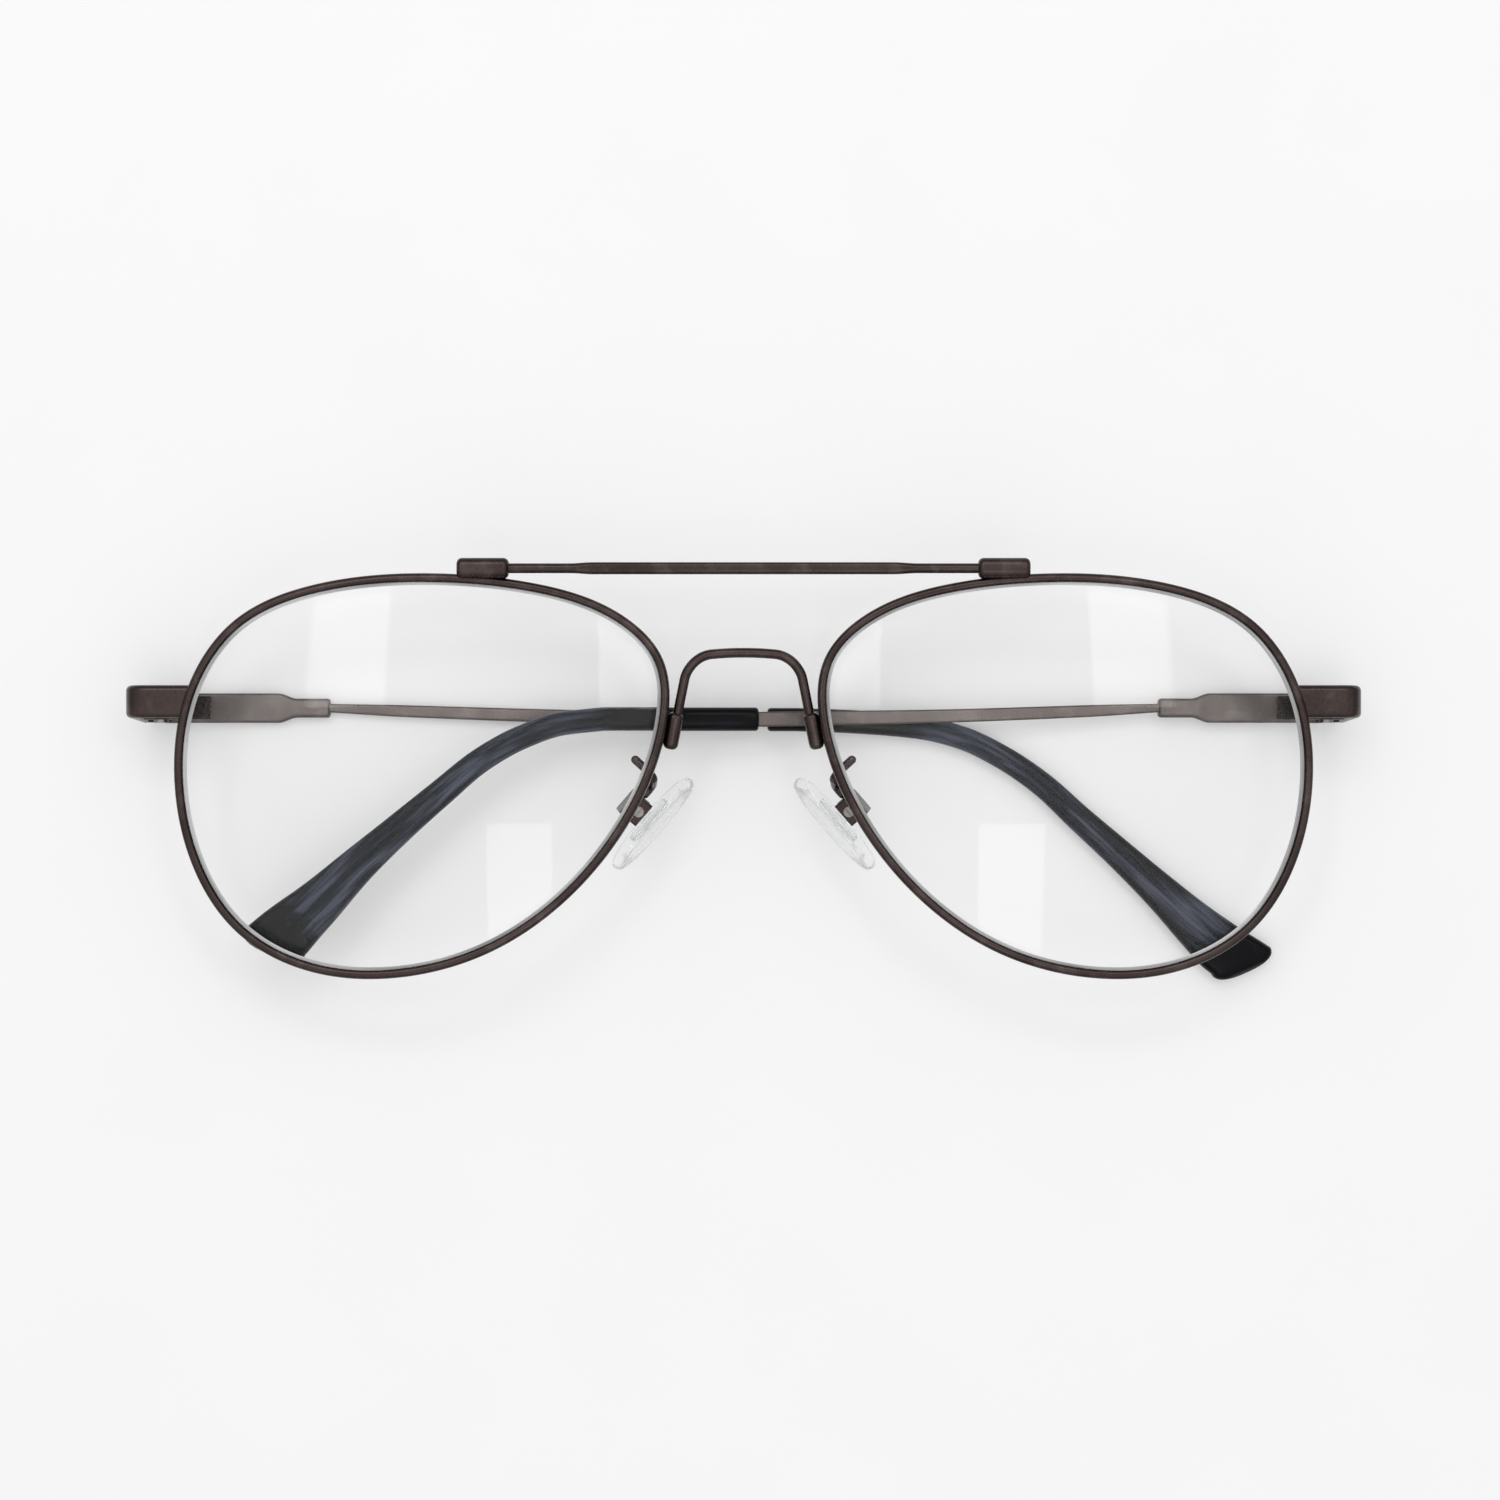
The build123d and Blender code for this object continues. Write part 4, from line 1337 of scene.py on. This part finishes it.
@dataclass
class Temple:
    """A folded temple: its metal block with the sleeve, the springy wire and the plastic tip.

    Each row of the tip's bend holds the share of its reach, the share of its drop, the degrees that it
    has turned and the share of its growth in height. The wire's shape has rows of the share of its
    run, of its growth and of its fall. The painted lens reflection's rise and fall hold the share of the
    tip's length where its mask meets 0 and the share that they take; the mask is 1 between them, where the
    tip lies behind a lens. The flow's gap sets the two tips' streaks apart.
    """

    outline: LensOutline
    side: Side
    lean: float
    tip_start: float
    tip_drop: float
    tip_bend: tuple
    pin_x: float = 67.07
    pin_z: float = 2.43
    rise: float = 7.7
    block_length: float = 13.2
    block_height: float = 3.4
    block_thickness: float = 1.3
    block_round: float = 0.35
    block_end_round: float = 0.15
    taper_length: float = 2.2
    taper_steps: int = 8
    sleeve_length: float = 3.8
    sleeve_height: float = 2.2
    sleeve_thickness: float = 1.5
    sleeve_round: float = 0.5
    sleeve_end_round: float = 0.3
    wire_root: float = 1.0
    wire_height: float = 1.7
    wire_thickness: float = 0.9
    wire_round: float = 0.3
    wire_fall: float = 1.3
    wire_seat: float = 2.0
    wire_core: float = 12.0
    wire_steps: int = 24
    wire_shape: tuple = ((0.0, 0.0, 0.0), (0.18, 0.55, 0.28), (0.6, 0.8, 0.78), (1.0, 1.0, 1.0))
    tip_reach: float = 59.0
    tip_height: float = 2.7
    tip_end_height: float = 7.5
    tip_thickness: float = 2.3
    tip_round: float = 0.95
    tip_lip: float = 0.4
    lip_steps: int = 4
    straight_steps: int = 9
    bend_steps: int = 56
    end_share: float = 0.047
    end_squash: float = 0.56
    end_thinning: float = 0.75
    end_power: float = 2.6
    end_steps: int = 8
    end_last: float = 0.992
    milk_rise: tuple = (0.20, 0.08)
    milk_fall: tuple = (0.92, 0.03)
    flow_gap: float = 7.0

    def __post_init__(self) -> None:
        """Work out the folded temple's own directions and levels."""
        lean = radians(self.lean)
        self.along = Vector((-cos(lean), 0, sin(lean)))
        self.up = Vector((sin(lean), 0, cos(lean)))
        self.down = self.up.cross(self.along)
        self.pin = Vector((self.pin_x, self.outline.centre.y + self.rise, self.pin_z))
        self.sleeve_end = self.block_length + self.taper_length + self.sleeve_length
        self.block_level = self.block_thickness / 2 - self.pin_z
        self.sleeve_level = self.sleeve_thickness / 2 - self.pin_z
        self.tip_level = self.tip_thickness / 2 - self.pin_z

    def cut(self, distance: float, fall: float, level: float, *sizes: float, turn: float = 0.0) -> Section:
        """A section across the temple.

        Args:
            distance: its distance from the pin.
            fall: how far down the page it lies.
            level: its height over the pin.
            sizes: its height, its thickness and its corner's radius.
            turn: how far the temple has turned down the page there.

        Returns:
            The section.
        """
        place = self.pin + self.along * distance + self.down * fall + self.up * level
        return Section(place, self.down * cos(turn) - self.along * sin(turn), self.up, *sizes)

    def block(self) -> Piece:
        """Loft the block, its taper and the sleeve that grips the wire."""
        block = (self.block_level, self.block_height, self.block_thickness, self.block_round)
        sleeve = (self.sleeve_level, self.sleeve_height, self.sleeve_thickness, self.sleeve_round)
        first = rounded_end(self.cut(0, 0, *block), -self.along, self.block_end_round, steps=2)
        sections = list(reversed(first))
        for step in range(self.taper_steps + 1):
            share = step / self.taper_steps
            distance = self.block_length + self.taper_length * share
            sections.append(self.cut(distance, 0, *blend(block, sleeve, eased(share))))
        sections += rounded_end(self.cut(self.sleeve_end, 0, *sleeve), self.along, self.sleeve_end_round)
        return loft(f"{self.side.word}_temple_block_and_sleeve", sections, self.side, SATIN)

    def wire(self) -> Piece:
        """Loft the flattened wire, which swells after the sleeve and runs on into the tip."""
        marks, growths, falls = zip(*self.wire_shape)
        growth, fall = smooth_curve(marks, growths), smooth_curve(marks, falls)
        rows = [(self.sleeve_end - self.wire_seat, 0, self.sleeve_level, self.wire_root)]
        first = (self.sleeve_end, self.sleeve_level)
        last = (self.tip_start, self.tip_level)
        for step in range(self.wire_steps + 1):
            share = step / self.wire_steps
            distance, level = blend(first, last, share)
            height = self.wire_root + growth(share) * (self.wire_height - self.wire_root)
            rows.append((distance, fall(share) * self.wire_fall, level, height))
        rows.append((self.tip_start + self.wire_core, self.wire_fall, self.tip_level, self.wire_height))
        sections = [self.cut(*row, self.wire_thickness, self.wire_round) for row in rows]
        return loft(f"{self.side.word}_temple_wire_strip", sections, self.side, SATIN)

    def tip_cut(self, reach: float, fall: float, turn: float, height: float, thick: float) -> Section:
        """A section of the tip, by its place from the tip's start."""
        radius = self.tip_round * thick / self.tip_thickness
        place = (self.tip_start + reach, self.wire_fall + fall, self.tip_level)
        return self.cut(*place, height, thick, radius, turn=turn)

    def tip_sections(self) -> list[tuple[Section, float]]:
        """The tip's sections, each with its length along the tip."""
        made = []
        straight = self.tip_bend[0][0] * self.tip_reach
        for angle in quarter_turn(self.lip_steps):
            shrink = 2 * self.tip_lip * (1 - sin(angle))
            reach = self.tip_lip * (1 - cos(angle))
            lip = self.tip_cut(reach, 0, 0, self.tip_height - shrink, self.tip_thickness - shrink)
            made.append((lip, reach))
        for step in range(1, self.straight_steps):
            reach = self.tip_lip + (straight - self.tip_lip) * step / self.straight_steps
            made.append((self.tip_cut(reach, 0, 0, self.tip_height, self.tip_thickness), reach))
        scale = (self.tip_reach, self.tip_drop, radians(1), self.tip_end_height - self.tip_height)
        rows = np.array(self.tip_bend) * scale
        strides = np.linalg.norm(np.diff(rows[:, :2], axis=0), axis=1)
        marks = [0.0, *np.cumsum(strides).tolist()]
        tracks = [smooth_curve(marks, column) for column in rows.T.tolist()]
        for step in range(self.bend_steps + 1):
            mark = marks[-1] * step / self.bend_steps
            reach, fall, turn, growth = (track(mark) for track in tracks)
            body = self.tip_cut(reach, fall, turn, self.tip_height + growth, self.tip_thickness)
            made.append((body, straight + mark))
        close = self.end_share * self.tip_reach
        shares = [sin(angle) for angle in quarter_turn(self.end_steps)[1:-1]]
        for share in (*shares, self.end_last):
            away = share * close * self.end_squash
            bulge = share**self.end_power
            height = (self.tip_height + growth) * (1 - bulge) ** (1 / self.end_power)
            thick = self.tip_thickness * (1 - bulge * self.end_thinning)
            cap = self.tip_cut(reach + away * cos(turn), fall + away * sin(turn), turn, height, thick)
            made.append((cap, straight + marks[-1] + share * close))
        return made

    def tip(self) -> Piece:
        """Loft the tip and store millimetres along and across it for its streaks, and the mask for the
        painted lens reflection on them.
        """
        rows = self.tip_sections()
        rings = [mirrored(section.ring(), self.side) for section, _ in rows]
        piece = loft_rings(f"{self.side.word}_marbled_tip", rings, TIP_PLASTIC)
        stores = piece.data.attributes
        stores.new("flow", "FLOAT_VECTOR", "POINT")
        stores.new("milk", "FLOAT", "POINT")
        flow, milk = stores["flow"], stores["milk"]
        middles = np.array(mirrored((section.origin for section, _ in rows), self.side)) * MM
        asides = np.array(mirrored((section.across for section, _ in rows), self.side))
        for point in piece.data.vertices:
            spot = np.array(point.co)
            nearest = int(np.argmin(np.linalg.norm(middles - spot, axis=1)))
            gap = (spot - middles[nearest]) / MM
            length = rows[nearest][1]
            share = length / rows[-1][1]
            # The mask for the painted lens reflection: it rises to 1 over the middle of the tip, which lies
            # behind a lens, and falls to 0 at both ends.
            fade_in = (share - self.milk_rise[0]) / self.milk_rise[1]
            fade_out = (self.milk_fall[0] - share) / self.milk_fall[1]
            milk.data[point.index].value = max(0.0, min(1.0, fade_in, fade_out))
            across = float(gap @ asides[nearest])
            depth = float(gap[2]) + self.side.value * self.flow_gap
            flow.data[point.index].vector = (length + self.tip_start, across, depth)
        return piece

    def build(self) -> None:
        """Build the temple's pieces and hand them to the frame."""
        body = f"{self.side.word}_temple"
        settle(self.block(), body, Slot.GUNMETAL, f"{body}_block")
        settle(self.wire(), body, Slot.GUNMETAL, f"{body}_wire")
        settle(self.tip(), body, Slot.TIP, f"{body}_tip")


@dataclass
class Hardware:
    """The construction's own small parts that stay as they are and only get a finish."""

    dark: tuple = ("rim_lock_upper", "rim_lock_lower", "hinge_front", "hinge_rear", "pad_box")
    bright: tuple = ("rim_screw", "hinge_screw", "pad_screw")
    pale: tuple = ("pad_core",)

    def build(self) -> None:
        """Finish the parts."""
        for side in Side:
            for names, finish in ((self.dark, GUNMETAL), (self.bright, STEEL), (self.pale, PAD_CORE)):
                for name in names:
                    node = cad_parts[f"{side.word}_{name}"]
                    node.data.materials.clear()
                    node.data.materials.append(finish.material())
                    log.info("%s keeps its shape", node.name)


@dataclass
class Studio:
    """The table, the lights and the camera.

    Each row of the walls holds a height and its tone. Each panel has its place, its size and its radiance.
    """

    outline: LensOutline
    floor_size: float = 1.6
    floor_level: float = -0.02
    camera_height: float = 275.0
    camera_x: float = 0.72
    camera_y: float = 2.88
    camera_near: float = 0.01
    picture_width: float = 166.1
    sensor: float = 36.0
    walls: tuple = ((0.0, 0.26), (0.55, 0.72), (1.0, 0.86))
    backdrop: float = 0.955
    panels: tuple = (
        ("left_window", (-228.0, 190.0, 600.0), (125.0, 190.0), 2.6),
        ("right_window", (212.0, 190.0, 600.0), (125.0, 190.0), 2.6),
        ("middle_panel", (30.0, -190.0, 600.0), (95.0, 230.0), 2.2),
        ("wide_softbox", (-60.0, 420.0, 620.0), (420.0, 180.0), 2.4),
    )

    def floor(self) -> None:
        """Lay the white table."""
        half, level = self.floor_size / 2, self.floor_level * MM
        mesh = bpy.data.meshes.new("table_top")
        corners = [(x * half, y * half, level) for x, y in ((-1, -1), (1, -1), (1, 1), (-1, 1))]
        mesh.from_pydata(corners, [], [(0, 1, 2, 3)])
        mesh.materials.append(FloorFinish().material())
        piece = placed("table_top", mesh)

    def lights(self) -> None:
        """Hang the soft panels above the table."""
        for name, place, size, radiance in self.panels:
            lamp = bpy.data.lights.new(name, "AREA")
            lamp.shape = "RECTANGLE"
            lamp.size = size[0] * MM
            lamp.size_y = size[1] * MM
            lamp.energy = radiance * pi * lamp.size * lamp.size_y
            placed(name, lamp).location = Vector(place) * MM

    def sky(self) -> None:
        """Fill the world with a white room that darkens towards the horizon for everything but the camera."""
        world = bpy.data.worlds.new("white_room")
        world.use_nodes = True
        graph = Graph(world.node_tree)
        way = graph.add("ShaderNodeTexCoord").outputs["Generated"]
        height = graph.add("ShaderNodeSeparateXYZ", {0: way}).outputs["Z"]
        shade = graph.ramp(height, tuple((place, (tone,) * 3) for place, tone in self.walls))
        room = graph.add("ShaderNodeBackground", {"Color": shade})
        white = graph.add("ShaderNodeBackground", {"Color": (*(self.backdrop,) * 3, 1.0)})
        rays = graph.add("ShaderNodeLightPath").outputs
        seen = graph.math("MAXIMUM", rays["Is Camera Ray"], rays["Is Transmission Ray"])
        both = graph.mix(seen, room.outputs[0], white.outputs[0])
        graph.add("ShaderNodeOutputWorld", {"Surface": both})
        bpy.context.scene.world = world

    def camera(self) -> None:
        """Hang the camera straight above the bridge."""
        lens = bpy.data.cameras.new("overhead_camera")
        lens.sensor_width = self.sensor
        lens.lens = self.sensor * self.camera_height / self.picture_width
        lens.clip_start = self.camera_near
        holder = placed("overhead_camera", lens)
        height = self.outline.crown_height + self.camera_height
        holder.location = Vector((self.camera_x, self.outline.centre.y + self.camera_y, height)) * MM
        bpy.context.scene.camera = holder

    def build(self) -> None:
        """Set the whole stage."""
        self.camera()
        self.floor()
        self.lights()
        self.sky()
        bpy.context.scene.view_settings.view_transform = "Standard"


def main() -> None:
    """Build the glasses and their stage."""
    logging.basicConfig(level=logging.INFO, format="%(message)s")
    outline = LensOutline()
    Studio(outline).build()
    for side in Side:
        Eye(outline, side).build()
        Endpiece(outline, side).build()
        NosePad(outline, side).build()
    Bridges(outline).build()
    Temple(outline, Side.LEFT, lean=3.0, tip_start=65.4, tip_drop=28.4, tip_bend=LATE_BEND).build()
    Temple(outline, Side.RIGHT, lean=0.0, tip_start=69.8, tip_drop=31.4, tip_bend=EARLY_BEND).build()
    Hardware().build()


if __name__ == "__main__":
    main()
